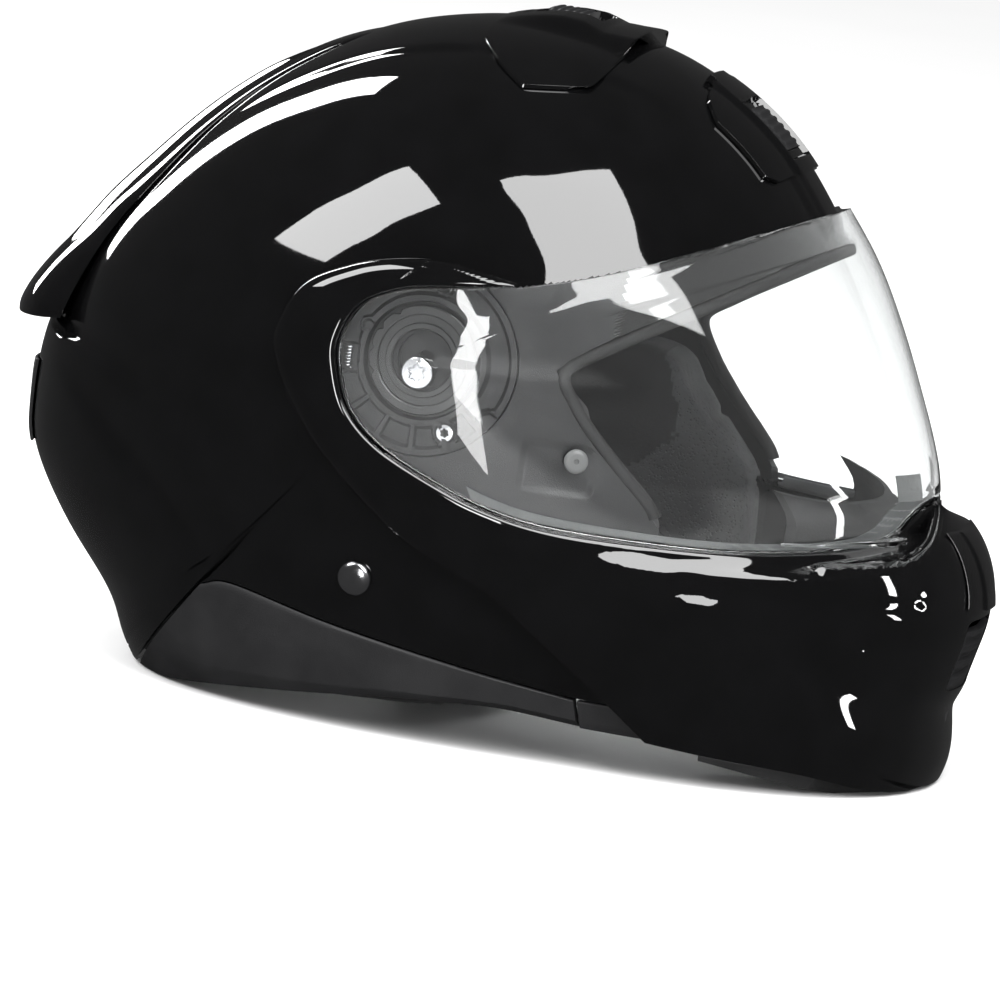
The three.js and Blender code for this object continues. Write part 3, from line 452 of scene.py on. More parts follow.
def crest(form, degrees, half, out, into, columns=41, base=None, base_degrees=None, sharp=1.0):
    """Closed cover astride the middle plane, over a form, between two half widths given for each angle.
    out and into are heights over the forms, each a number or a function of (degrees, y)."""
    d = np.asarray(degrees, float)
    s = np.linspace(-1, 1, columns)
    s = np.sign(s) * np.abs(s) ** sharp
    y = np.asarray(half)[:, None] * s
    dd = np.broadcast_to(d[:, None], y.shape)
    value = lambda f: f(dd, y) if callable(f) else np.full(y.shape, float(f))
    outer = form.at_width(dd, y, value(out))
    low = dd if base_degrees is None else np.broadcast_to(np.asarray(base_degrees)[:, None], y.shape)
    inner = (base or form).at_width(low, y, value(into))
    return thick(outer, inner)


def half_over(form, outline, degrees, cap):
    """Half width of a cover at each angle, from its lower outline in the side view."""
    radius = outline(degrees)
    turn = np.radians(degrees)
    return np.minimum(form.height(radius * np.cos(turn), radius * np.sin(turn)), cap)


# ---------------------------------------------------------------- materials

def nodes_of(name):
    material = bpy.data.materials.new(name)
    material.use_nodes = True
    tree = material.node_tree
    return material, tree, tree.nodes["Principled BSDF"]


def add_node(tree, kind, inputs=None, **settings):
    node = tree.nodes.new(kind)
    for key, value in settings.items():
        setattr(node, key, value)
    for key, value in (inputs or {}).items():
        if isinstance(value, bpy.types.NodeSocket):
            tree.links.new(value, node.inputs[key])
        else:
            node.inputs[key].default_value = value
    return node


def place(tree, scale=1.0):
    coordinates = add_node(tree, "ShaderNodeTexCoord")
    return add_node(tree, "ShaderNodeMapping",
                    {"Vector": coordinates.outputs["Object"], "Scale": (scale,) * 3}).outputs[0]


def noise(tree, vector, scale, detail=4.0, roughness=0.55):
    return add_node(tree, "ShaderNodeTexNoise", {"Vector": vector, "Scale": scale, "Detail": detail,
                                                 "Roughness": roughness}).outputs["Fac"]


def ramp(tree, factor, stops):
    node = add_node(tree, "ShaderNodeValToRGB", {"Fac": factor})
    elements = node.color_ramp.elements
    while len(elements) < len(stops):
        elements.new(0.5)
    for element, (at, colour) in zip(elements, stops):
        element.position = at
        element.color = (*colour, 1) if len(colour) == 3 else colour
    return node.outputs["Color"]


def bump(tree, height, distance, strength=1.0):
    return add_node(tree, "ShaderNodeBump", {"Height": height, "Distance": distance,
                                             "Strength": strength}).outputs[0]


def grey(value):
    return (value, value, value)


def gloss_black():
    material, tree, shader = nodes_of("gloss_black")
    where = place(tree)
    dust = ramp(tree, noise(tree, where, 900, 2), [(0.0, grey(0.0)), (0.73, grey(0.0)), (0.8, grey(1.0))])
    flake = ramp(tree, noise(tree, where, 60, 3),
                 [(0.3, (0.0016, 0.0016, 0.0017)), (0.7, (0.0024, 0.0024, 0.0026))])
    mixed = add_node(tree, "ShaderNodeMix", data_type="RGBA", inputs={"Factor": dust})
    tree.links.new(flake, mixed.inputs[6])
    mixed.inputs[7].default_value = (0.006, 0.006, 0.0062, 1)
    tree.links.new(mixed.outputs[2], shader.inputs["Base Color"])
    rough = ramp(tree, noise(tree, where, 14, 5), [(0.35, grey(0.025)), (0.75, grey(0.05))])
    tree.links.new(rough, shader.inputs["Roughness"])
    shader.inputs["Coat Weight"].default_value = 0.6
    shader.inputs["Coat Roughness"].default_value = 0.015
    shader.inputs["Specular IOR Level"].default_value = 0.5
    tree.links.new(bump(tree, noise(tree, where, 420, 2), 0.00002, 0.25), shader.inputs["Normal"])
    return material


def moulded(name, low, high, rough=0.55, grain=2600, depth=0.00006):
    """Fine-grained moulded plastic or rubber."""
    material, tree, shader = nodes_of(name)
    where = place(tree)
    patches = ramp(tree, noise(tree, where, 45, 5), [(0.3, low), (0.75, high)])
    tree.links.new(patches, shader.inputs["Base Color"])
    tree.links.new(ramp(tree, noise(tree, where, 30, 4),
                        [(0.3, grey(rough - 0.07)), (0.7, grey(rough + 0.08))]),
                   shader.inputs["Roughness"])
    cells = add_node(tree, "ShaderNodeTexVoronoi", {"Vector": where, "Scale": grain}).outputs["Distance"]
    tree.links.new(bump(tree, cells, depth, 0.6), shader.inputs["Normal"])
    return material


def clear_plastic(name, colour, rough, transmission=1.0, ior=1.45):
    material, tree, shader = nodes_of(name)
    where = place(tree)
    haze = ramp(tree, noise(tree, where, 25, 5), [(0.4, grey(rough)), (0.8, grey(rough + 0.03))])
    tree.links.new(haze, shader.inputs["Roughness"])
    tint = ramp(tree, noise(tree, where, 9, 3),
                [(0.3, colour), (0.7, tuple(min(1, c * 1.02) for c in colour))])
    tree.links.new(tint, shader.inputs["Base Color"])
    shader.inputs["Transmission Weight"].default_value = transmission
    shader.inputs["IOR"].default_value = ior
    return material


def metal(name, colour, rough):
    material, tree, shader = nodes_of(name)
    where = place(tree)
    tree.links.new(ramp(tree, noise(tree, where, 220, 5),
                        [(0.3, grey(rough)), (0.8, grey(rough + 0.12))]),
                   shader.inputs["Roughness"])
    tree.links.new(ramp(tree, noise(tree, where, 90, 3),
                        [(0.3, colour), (0.75, tuple(c * 0.82 for c in colour))]),
                   shader.inputs["Base Color"])
    shader.inputs["Metallic"].default_value = 1.0
    tree.links.new(bump(tree, noise(tree, where, 1500, 2), 0.00002, 0.4), shader.inputs["Normal"])
    return material


GLOSS = gloss_black()
MATT = moulded("matt_black", (0.010, 0.010, 0.011), (0.017, 0.017, 0.018), 0.5)
RUBBER = moulded("rubber_black", (0.012, 0.012, 0.012), (0.022, 0.022, 0.023), 0.68, 900, 0.00008)
GASKET = moulded("gasket_grey", (0.10, 0.105, 0.105), (0.15, 0.155, 0.155), 0.5, 900, 0.00005)
FOAM = moulded("bead_foam", (0.012, 0.012, 0.013), (0.028, 0.028, 0.03), 0.85, 320, 0.0005)
CLEAR = clear_plastic("clear_visor", (0.97, 0.985, 0.985), 0.004)
SMOKE = clear_plastic("smoked_visor", (0.16, 0.17, 0.18), 0.01)
STEEL = metal("polished_steel", (0.62, 0.62, 0.64), 0.16)
RED = moulded("red_plastic", (0.30, 0.012, 0.010), (0.38, 0.02, 0.016), 0.32)
FRAME_GREY = moulded("side_frame_grey", (0.006, 0.006, 0.007), (0.012, 0.012, 0.013), 0.42)
FROST = clear_plastic("frosted_plastic", (0.16, 0.165, 0.165), 0.3, 0.4)


def fabric(name, low, high, thread, sheen, rough, kind):
    """Cloth with its own weave: velour, knitted mesh, webbing or grained leatherette."""
    material, tree, shader = nodes_of(name)
    where = place(tree)
    fuzz = noise(tree, where, 700, 6, 0.7)
    if kind == "velour":
        height = add_node(tree, "ShaderNodeMath", operation="MULTIPLY",
                          inputs={0: fuzz, 1: noise(tree, where, 90, 4)}).outputs[0]
    elif kind == "mesh":
        cells = add_node(tree, "ShaderNodeTexVoronoi",
                         {"Vector": where, "Scale": thread}).outputs["Distance"]
        height = add_node(tree, "ShaderNodeMapRange",
                          {"Value": cells, "From Min": 0.18, "From Max": 0.4}).outputs[0]
    elif kind == "webbing":
        waves = [add_node(tree, "ShaderNodeTexWave", {"Vector": where, "Scale": thread, "Distortion": 1.0,
                                                      "Detail": 2.0}, bands_direction=axis).outputs["Fac"]
                 for axis in ("X", "DIAGONAL")]
        height = add_node(tree, "ShaderNodeMath", operation="MAXIMUM",
                          inputs={0: waves[0], 1: waves[1]}).outputs[0]
    else:
        height = add_node(tree, "ShaderNodeTexVoronoi", {"Vector": where, "Scale": thread},
                          feature="DISTANCE_TO_EDGE").outputs["Distance"]
    blend = add_node(tree, "ShaderNodeMath", operation="MULTIPLY", inputs={0: height, 1: 0.7})
    mixed = add_node(tree, "ShaderNodeMath", operation="MULTIPLY_ADD",
                     inputs={0: fuzz, 1: 0.4, 2: blend.outputs[0]})
    tree.links.new(ramp(tree, mixed.outputs[0], [(0.15, low), (0.75, high)]), shader.inputs["Base Color"])
    shader.inputs["Roughness"].default_value = rough
    shader.inputs["Sheen Weight"].default_value = sheen
    shader.inputs["Sheen Roughness"].default_value = 0.45
    tree.links.new(bump(tree, height, 0.0005 if kind != "leatherette" else 0.0002, 0.7),
                   shader.inputs["Normal"])
    return material


VELOUR = fabric("black_velour", (0.006, 0.006, 0.007), (0.016, 0.016, 0.017), 0, 0.12, 0.95, "velour")
MESH_FABRIC = fabric("mesh_fabric", (0.010, 0.010, 0.011), (0.045, 0.046, 0.048), 780, 0.12, 0.85, "mesh")
WEBBING = fabric("woven_webbing", (0.010, 0.010, 0.011), (0.04, 0.04, 0.043), 420, 0.15, 0.8, "webbing")
LEATHERETTE = fabric("grained_leatherette", (0.010, 0.010, 0.010), (0.026, 0.026, 0.027), 900, 0.05, 0.5,
                     "leatherette")
THREAD = fabric("sewing_thread", (0.03, 0.03, 0.032), (0.09, 0.09, 0.094), 1500, 0.1, 0.7, "webbing")
HUB = moulded("hub_plastic", (0.016, 0.016, 0.017), (0.026, 0.026, 0.027), 0.22)

# ---------------------------------------------------------------- outer shell

visor_edge = bound(VISOR_TOP, VISOR_ROUND)
ear_edge = bound(EAR, ARM_REAR, CHIN_BOTTOM)
POCKET_RADIUS, POCKET_FLOOR, BOSS = 33, 110.5, 108.4


def crossing(form, edge, low, high):
    """Angle at which an outline leaves a form's profile."""
    d = np.linspace(low, high, 4001)
    f = edge(d) - form.radius(d)
    return d[np.nonzero(np.diff(np.sign(f)))[0][0]]


def ridge(x, z, points, depth, width, fade):
    """Step down below a line of the side view, dying away below it and at the line's two ends."""
    line = curve(points, 20)
    offset = np.stack([x, z], -1)[..., None, :] - line
    distance = np.linalg.norm(offset, axis=-1)
    nearest = np.argmin(distance, axis=-1)
    tangent = np.gradient(line, axis=0)
    tangent /= np.linalg.norm(tangent, axis=1, keepdims=True)
    t = tangent[nearest]
    o = np.take_along_axis(offset, nearest[..., None, None], axis=-2)[..., 0, :]
    below = t[..., 0] * o[..., 1] - t[..., 1] * o[..., 0]
    along = nearest / (len(line) - 1)
    end = smooth_step(along, 0, fade[0]) * smooth_step(1 - along, 0, fade[1])
    stray = np.maximum(distance.min(axis=-1) - np.abs(below), 0)
    return -depth * end / (1 + np.exp(-below / 0.9)) * np.exp(-np.abs(below) / width - stray / 8)


def shell_relief(x, y, z):
    degrees = np.degrees(np.arctan2(z, x))
    y = np.abs(y)
    fin = [(-163, -17), (-147.2, -18.5), (-128, -22.5), (-107.9, -29.5), (-92, -38)]
    nape = [(-152, -24), (-127.8, -41), (-110, -54), (-96.2, -65.6), (-80, -81), (-69.5, -93)]
    amount = ridge(x, z, fin, 4.2, 20, (0.15, 0.45)) + ridge(x, z, nape, 3.0, 16, (0.3, 0.12))
    band = smooth_step(x, -120, -60) * (1 - smooth_step(x, 38, 66)) * (z > 0)
    amount += 1.1 * band * (1 - smooth_step(y, 43, 48))
    brow = smooth_step(degrees, 24, 27) * (1 - smooth_step(degrees, 44, 50))
    amount += brow * (0.9 * (1 - smooth_step(y, 15, 18.5)) + 0.8 * (1 - smooth_step(y, 9.5, 12)))
    inset = (smooth_step(x, 37, 39.5) * (1 - smooth_step(x, 60, 62.5))
             * smooth_step(z, -39.5, -37) * (1 - smooth_step(z, -23.5, -21)))
    return amount - 0.9 * inset


def outer_shell():
    top, rear, skirt = bound(EYEPORT_TOP), bound(EYEPORT_REAR), bound(SKIRT_TOP)
    bottom = bound([(-73, -92.6), (-106.5, -133)], [(-106.5, -133), (-128, -133)],
                   [(-128, -133), (-260, -150)])
    front = bound([(84, -109.6), (85, -47)])
    turn = lambda x, z: math.degrees(math.atan2(z, x)) % 360
    brow, port, low, tip, apex = (crossing(SHELL, top, 18, 30), turn(44.8, 3.3), turn(85, -47),
                                  turn(84, -109.6),
                                  turn(-73, -92.6))
    nape = 360 + crossing(SHELL, bottom, -149, apex - 360)
    runs = [(span(brow, nape, 0.7), None), (span(nape, apex, 0.5), bottom), (span(apex, tip, 0.8), skirt),
            (span(tip, low, 0.8), front), (span(low, 360 + port, 0.8), rear),
            (span(360 + port, 360 + brow, 0.8), top)]
    degrees = np.concatenate([d[:-1] for d, f in runs])
    edge = np.concatenate([SHELL.radius(d[:-1]) if f is None else np.minimum(f(d[:-1]),
                                                                             SHELL.radius(d[:-1]))
                           for d, f in runs])

    def side(columns, grow, floor, radius):
        well = np.minimum(np.array([3.0, 20, radius - 0.1]), edge[:, None])
        rim = np.minimum(np.full(len(degrees), float(radius)), edge)
        grid = fan(SHELL, degrees, rim, edge, columns, grow)
        inside = np.hypot(grid[..., 0], grid[..., 2]) < radius - (3.5 if grow < 0 else 0.01)
        grid[..., 1] = np.where(inside & (grid[..., 1] > 60), floor, grid[..., 1])
        a = np.radians(degrees)[:, None]
        centre = np.stack([well * np.cos(a), np.full(well.shape, float(floor)), well * np.sin(a)], -1)
        return centre, grid

    well, grid = side(84, 0, POCKET_FLOOR, POCKET_RADIUS)
    rise = shell_relief(grid[..., 0], grid[..., 1], grid[..., 2])
    fade = smooth_step(np.hypot(grid[..., 0], grid[..., 2]), 33, 38)
    grid = relief(grid, rise * fade)
    outer = np.concatenate([well, grid], 1)
    well, grid = side(22, -4, BOSS, POCKET_RADIUS + 3)
    inner = np.concatenate([well, grid], 1)
    on_middle = edge >= SHELL.radius(degrees) - 1e-6
    points, faces = both_halves(*thick(outer, inner, True, on_middle))
    shell = mesh_object("shell_skin", points, faces, GLOSS, "shell",
                        replaces="outer_shell")
    shell.data.materials.append(FRAME_GREY)
    for face in shell.data.polygons:
        x, y, z = (face.center / MM) - Vector((PIVOT_X, 0, PIVOT_Z))
        reach = math.hypot(x, z)
        under = reach < float(visor_edge(math.degrees(math.atan2(z, x)))) - 0.2
        if under and abs(y) > 60 and x < 62 + max(0, -z) * 0.6:
            face.material_index = 1
    return bevel(shell, 0.6)


outer_shell()

# ---------------------------------------------------------------- chin bar


def swept(form, x, z, angles, inside):
    """Sideways distance that a form reaches at a place while it turns backwards through some angles."""
    reach, degrees = np.hypot(x, z), np.degrees(np.arctan2(z, x))
    heights = []
    for angle in angles:
        a = np.radians(degrees + angle)
        heights.append(np.where(inside(reach, degrees + angle),
                                form.height(reach * np.cos(a), reach * np.sin(a)), 0))
    return np.max(heights, axis=0)


def swept_shell(x, z):
    """The shell as the rising chin bar meets it."""
    return swept(SHELL, x, z, range(0, 71, 10), lambda reach, degrees: reach > 0)


def swept_visor(x, z):
    """The visor as it rises inside the chin bar's ears, where it passes under them."""
    passing = lambda reach, degrees: reach < visor_edge(degrees) + 2.0
    return swept(VISOR, x, z, range(-34, 0, 2), passing)


def chin_skin():
    start = math.degrees(math.atan2(30.6, 31)) + 2.2
    end = 360 + crossing(CHIN, lambda d: visor_edge(d) + 0.9, -16, -8) - 0.1
    low = 360 + crossing(CHIN, ear_edge, -50, -30)
    degrees = np.concatenate([span(start, low, 0.6)[:-1], span(low, end, 0.28)])
    first = visor_edge(degrees) + 0.9
    last = np.where(degrees >= low, CHIN.radius(degrees),
                    np.minimum(ear_edge(degrees), CHIN.radius(degrees)))
    last = np.maximum(last, first + 0.05)
    ease = lambda t: 0.5 - 0.5 * np.cos(math.pi * t)
    grid = fan(CHIN, degrees, first, last, 64, 0, ease)
    x, y, z = grid[..., 0], grid[..., 1], grid[..., 2]
    reach = np.hypot(x, z)
    # beside the visor the skin stands just proud of it and swells to its full width further away
    away = reach - first[:, None]
    blend = smooth_step(away, 0, 16)
    front = np.clip((x - 20) / 60, 0, 1)
    near = VISOR.height(x, z)
    low_y = np.where(near > 0.1, near + 3.0, 0)
    y = np.where(y > 0, y + (np.minimum(low_y, y) - y) * (1 - blend) * front, 0)
    # the ears' edges curl in towards the shell, as far as the swing lets them
    target = np.maximum(swept_shell(x, z) + 1.4, swept_visor(x, z) + 1.4)
    dd = np.broadcast_to(degrees[:, None], y.shape)
    share = 1 - 0.85 * smooth_step(dd, 250, 300)
    u = np.clip(1 - (last[:, None] - reach) / 9.5, 0, 1)
    curl = np.maximum(y - target, 0) * share * (1 - np.sqrt(1 - u * u)) * (1 - smooth_step(dd, 296, 306))
    y = y - curl
    lip = np.clip(1 - away / 2.4, 0, 1)
    y = y - np.where(y > 20, 1.5 * (1 - np.sqrt(1 - lip * lip)), 0)
    y = np.where(y > 20, np.maximum(y, np.maximum(swept_visor(x, z) + 1.7, swept_shell(x, z) + 1.3)), y)
    outer = np.stack([x, y, z], -1)
    crease = [(60, -70), (80, -68.4), (101.6, -67.6), (128, -66.8), (151.7, -66), (172, -67.3)]
    lower = [(84, -84), (120, -80), (150.5, -77), (163, -90), (168, -102)]
    side = ridge(x, z, crease, 1.5, 16, (0.45, 0.02)) + ridge(x, z, lower, 1.0, 14, (0.5, 0.2))
    outer = relief(outer, side * (np.abs(y) > 1e-6) * smooth_step(away, 1, 8)
                   * smooth_step(last[:, None] - reach, 0, 6))
    inner = fan(CHIN, degrees, first, last, 24, -3, ease)
    inner_top = np.stack([np.interp(np.linspace(0, 1, 24), np.linspace(0, 1, 64),
                                    row) for row in outer[..., 1]])
    clear = np.maximum(np.minimum(inner[..., 1], inner_top - 2.4), np.maximum(
        swept_shell(inner[..., 0], inner[..., 2]), swept_visor(inner[..., 0], inner[..., 2])) + 0.4)
    inner[..., 1] = np.where(inner_top > 1e-6, np.maximum(np.minimum(clear, inner_top - 0.8), 0), 0)
    on_middle = degrees >= low - 1e-6
    inner[on_middle, -1, 1] = 0
    points, faces = both_halves(*thick(outer, inner, False, on_middle))
    skin = mesh_object("chin_bar_skin", points, faces, GLOSS, "chin_bar",
                       replaces="chin_bar")
    mouth_points, mouth_faces = sweep([(150, 0, -85), (200, 0, -85)], oval(40, 26, 40, 9), (0, 0, 1))
    mouth = mesh_object("mouth", mouth_points, mouth_faces, GLOSS, "chin_bar")
    cut(skin, mouth)
    return bevel(skin, 0.7)


chin_skin()


def flap_rise(degrees, y):
    y = np.abs(y)
    keystone = 1 - smooth_step(y, 7.5, 9.5)
    return 1.2 + 1.2 * keystone


angles = span(-13.9, -20.3, 0.25)
points, faces = crest(CHIN, angles, np.interp(angles, [-20.3, -13.9], [22.8, 21]), flap_rise, 0.55, 61)
bevel(mesh_object("vent_flap", points, faces, GLOSS, "chin_vent_flap",
                  replaces="chin_vent_flap"), 0.6)


def intake_rise(degrees, y):
    z = CHIN.radius(degrees) * np.sin(np.radians(degrees))
    slot = np.zeros(y.shape)
    for level in (-92.5, -86.5, -80.5):
        slot += (1 - smooth_step(np.abs(z - level), 1.0, 1.7))
    return -0.7 - 1.6 * slot * (1 - smooth_step(np.abs(y), 15, 16.5))


angles = span(math.degrees(math.atan2(-72.8, 175)), math.degrees(math.atan2(-97.2, 175)), 0.14)
points, faces = crest(CHIN, angles, np.full(len(angles), 19.2), intake_rise, -3.0, 61)
mesh_object("intake_mesh", points, faces, MATT, "chin_bar",
            replaces="chin_intake_grille")

# ---------------------------------------------------------------- visor


def visor_lens():
    degrees = span(-180, 180, 1.0)[:-1]
    edge = np.minimum(visor_edge(degrees), VISOR.radius(degrees))
    start = np.full(len(degrees), 0.4)
    on_middle = visor_edge(degrees) >= VISOR.radius(degrees)
    grids = [fan(VISOR, degrees, start, edge, 60, grow) for grow in (0, -2)]
    points, faces = both_halves(*thick(*grids, True, on_middle))
    lens = mesh_object("visor_lens", points, faces, CLEAR, "visor", replaces="visor_shield")
    return bevel(lens, 0.4)


visor_lens()


def mid_path(points, form, grow, count):
    """Closed-up path from a side-view line: right side, over the middle plane, and back on the left."""
    p = curve(points, 60)
    inside = np.hypot(p[:, 0], p[:, 1]) < form.radius(np.degrees(np.arctan2(p[:, 1], p[:, 0]))) + grow
    last = len(p) if inside.all() else np.argmin(inside)
    right = on_form(form, p[:last], grow)
    right[-1, 1] = 0
    whole = np.vstack([right, right[-2::-1] * [1, -1, 1]])
    return resample(whole, count, smooth=False)


def sides_of(path):
    """Direction away from the pivot axis's middle, used as the up direction of a swept section."""
    return path / np.linalg.norm(path, axis=1, keepdims=True)


seal_line = [(82.5, -43.5), (79, -38), (62.5, -21.4), (52.3, -9), (47.2, 2.4), (58.5, 11.4), (83.8, 26.9),
             (105, 39.8), (121, 49), (150, 65)]
path = mid_path(seal_line, SHELL, -1.6, 220)
points, faces = sweep(path, oval(4.4, 5.0, 14, 3), sides_of(path))
mesh_object("port_seal", points, faces, RUBBER, "shell", replaces="eyeport_seal")

gasket_line = [(88, -51.3), (100, -51.2), (112, -51), (128, -50), (143, -47.6), (153, -43.6),
               (160, -35.6), (172, -30)]
path = mid_path(gasket_line, VISOR, -4.5, 160)
points, faces = sweep(path, oval(3.8, 4.0, 14, 3), sides_of(path))
mesh_object("lower_gasket", points, faces, GASKET, "chin_bar", replaces="visor_gasket")


def edge_band():
    """Frosted band moulded inside the visor's lower edge."""
    degrees = span(-62, -9, 0.8)
    edge = np.minimum(visor_edge(degrees), VISOR.radius(degrees) - 0.4) - 0.5
    grids = [fan(VISOR, degrees, edge - 4.6, edge, 5, grow) for grow in (-2.02, -2.25)]
    points, faces = both_halves(*thick(*grids))
    mesh_object("visor_edge_band", points, faces, GASKET, "visor")


edge_band()


def pinlock(name, sign, old):
    x, z = 56.3, -26.5
    y = float(VISOR.height(x, z))
    step = 0.2
    normal = np.array([-(float(VISOR.height(x + step, z)) - y) / step, 1,
                       -(float(VISOR.height(x, z + step)) - y) / step])
    normal *= [1, -sign, 1]
    profile = [(0, 1.0), (0.7, 1.0), (0.9, 1.5), (2.6, 1.6), (3.6, 1.4), (4.1, 0.9), (4.2, 0.3),
               (4.2, 0.05), (0, 0.05)]
    points, faces = turned((x, -sign * y, z), normal, profile)
    return mesh_object(name, points, faces, FROST, "visor", replaces=old)


pair(pinlock, "visor_pin", "pinlock_pin")


def visor_tab():
    y = np.linspace(-79, -35, 60)
    z = np.interp(y, [-79, -35], [-47.2, -45.2])
    low, high = np.full(60, 80.0), np.full(60, 170.0)
    for _ in range(40):
        middle = (low + high) / 2
        outside = VISOR.height(middle, z) < -y
        low, high = np.where(outside, low, middle), np.where(outside, middle, high)
    path = np.stack([low, y, z], -1)
    t = np.linspace(0, 1, 60)
    rise = 0.6 + 5.0 * smooth_step(t, 0, 0.9)
    path[:, 0] += rise * 0.42
    path[:, 1] -= rise * 0.30
    section = oval(1, 1, 16, 3)
    points, faces = [], []
    scaled = [section * [0.8 + r * 0.55, r] for r in rise]
    tangent = np.gradient(path, axis=0)
    tangent /= np.linalg.norm(tangent, axis=1, keepdims=True)
    out = np.cross(tangent, [0, 0, 1.0])
    out /= np.linalg.norm(out, axis=1, keepdims=True)
    for p, o, s in zip(path, out, scaled):
        points += [p + o * b + np.array([0, 0, 1]) * a * 0.75 for a, b in s]
    k = len(section)
    for i in range(59):
        faces += [(i * k + j, i * k + (j + 1) % k, (i + 1) * k + (j + 1) % k,
                   (i + 1) * k + j) for j in range(k)]
    faces += [tuple(range(k))[::-1], tuple(59 * k + j for j in range(k))]
    tab = mesh_object("thumb_tab", np.array(points), faces, CLEAR, "visor",
                      replaces="visor_tab")
    return bevel(tab, 0.5)


visor_tab()

# ---------------------------------------------------------------- spoiler, vents and grille


def spoiler():
    degrees = span(119.5, 186, 0.6)
    half = np.interp(degrees, [119, 128, 140, 150, 158, 166, 186], [14, 23, 33.7, 42, 47.7, 53, 55])
    columns = 91
    s = np.linspace(-1, 1, columns)
    s = np.sign(s) * np.abs(s) ** 0.8
    y = half[:, None] * s
    dd = np.broadcast_to(degrees[:, None], y.shape)
    high, low = SPOILER.at_width(dd, y), SHELL.at_width(dd, y, 0.8)
    u = np.clip((np.abs(s) - 0.72) / 0.28, 0, 1)
    w = (1 - np.sqrt(1 - u**2)) * (1 - 0.55 * smooth_step(dd, 176, 186))
    nose = 1 - smooth_step(dd, 119.5, 128)
    w = np.maximum(w, nose * (1 - np.sqrt(1 - np.clip(nose, 0, 1) ** 2 * 0.999)))
    rail = (1.5 * np.exp(-(((np.abs(s) - 0.66) / 0.09) ** 2))
            * smooth_step(dd, 126, 140) * (1 - smooth_step(dd, 172, 182)))
    outer = high + (low - high) * w[..., None]
    outer = relief(outer, rail)
    inner = SHELL.at_width(dd[:, ::2], y[:, ::2], 0.45)
    points, faces = thick(outer, inner)
    piece = mesh_object("spoiler", points, faces, GLOSS, "shell",
                        replaces="rear_spoiler")
    return bevel(piece, 0.7)


spoiler()


def grille_rise(degrees, y):
    z = SHELL.radius(degrees) * np.sin(np.radians(degrees))
    slots = np.zeros(y.shape)
    for middle in (-30, -18, -6, 6, 18, 30):
        slots += 1 - smooth_step(np.abs(y - middle), 3.2, 4.0)
    return 1.6 - 1.1 * slots * smooth_step(z, -60.5, -59) * (1 - smooth_step(z, -43, -41.5))


angles = span(191.8, 201.8, 0.25)
points, faces = crest(SHELL, angles, np.interp(angles, [191, 202], [42, 36]), grille_rise, 0.45, 121)
bevel(mesh_object("rear_grille", points, faces, MATT, "shell",
                  replaces="exhaust_grille"), 0.4)

wing_line = bound([(-14, 104), (-2, 97)], [(-2, 97), (9, 91.5)], [(9, 91.5), (31, 93.5)],
                  [(31, 93.5), (37, 106)])


def vent_rise(degrees, y):
    x = SHELL.radius(degrees) * np.cos(np.radians(degrees))
    side = np.abs(y)
    hump = np.interp(x, [-14, -12, -3, 4, 9, 16, 20, 24, 30, 36],
                     [1.6, 2.2, 3.9, 5.2, 5.9, 6.0, 5.2, 4.4, 5.2, 6.4])
    width = np.interp(x, [-14, 10, 36], [21, 26, 29])
    rise = 1.6 + (hump - 1.6) * (1 - smooth_step(side, width - 6, width + 3))
    room = smooth_step(x, -7.6, -6.6) * (1 - smooth_step(x, 19.6, 20.6)) * (1 - smooth_step(side, 9.3,
                                                                                            10.1))
    return rise - room * np.maximum(rise - 2.3, 0)


angles = span(97.6, 71.2, 0.4)
half = np.maximum(half_over(SHELL, wing_line, angles, 66.3), 12)
points, faces = crest(SHELL, angles, half, vent_rise, 0.45, 121,
                      base_degrees=np.where(angles < 76, 76 - (76 - angles) * 0.45, angles))
bevel(mesh_object("top_vent", points, faces, GLOSS, "shell",
                  replaces="top_vent_housing"), 0.6)


def ribbed(middle, pitch, depth, level):
    """Height of a slider with ribs across its travel."""
    def rise(degrees, y):
        wave = np.cos((degrees - middle) / pitch * 2 * math.pi)
        return level + depth * np.clip(wave * 1.4, -1, 1) - 0.5 * smooth_step(np.abs(y), 7.4, 8.8)
    return rise


angles = span(89.4, 82.2, 0.15)
points, faces = crest(SHELL, angles, np.full(len(angles), 8.9), ribbed(86, 1.3, 0.25, 5.6), 2.7, 41)
mesh_object("top_slider", points, faces, MATT, "top_vent_slider",
            replaces="top_vent_slider")

front_line = bound([(60, 103), (66, 93)], [(66, 93), (84, 74)], [(84, 74), (96, 69)])


def brow_rise(degrees, y):
    side = np.abs(y)
    x = SHELL.radius(degrees) * np.cos(np.radians(degrees))
    keystone = 1 - smooth_step(side, 14, 17)
    mouth = (1 - smooth_step(side, 12.4, 13.4)) * smooth_step(x, 73,
                                                              74.5) * (1 - smooth_step(x, 93.5, 95))
    return 1.7 + 1.5 * keystone - 2.4 * mouth


angles = span(58.5, 36.2, 0.3)
half = half_over(SHELL, front_line, angles, 35.8)
points, faces = crest(SHELL, angles, np.maximum(half, 10), brow_rise, 0.45, 101)
bevel(mesh_object("brow_vent", points, faces, GLOSS, "shell",
                  replaces="forehead_vent_housing"), 0.5)

angles = span(49.5, 40.5, 0.2)
points, faces = crest(SHELL, angles, np.full(len(angles), 8.9), ribbed(45, 1.6, 0.3, 2.5), 1.2, 41)
mesh_object("brow_slider", points, faces, MATT, "forehead_vent_slider",
            replaces="forehead_vent_slider")

# ---------------------------------------------------------------- lower skirts


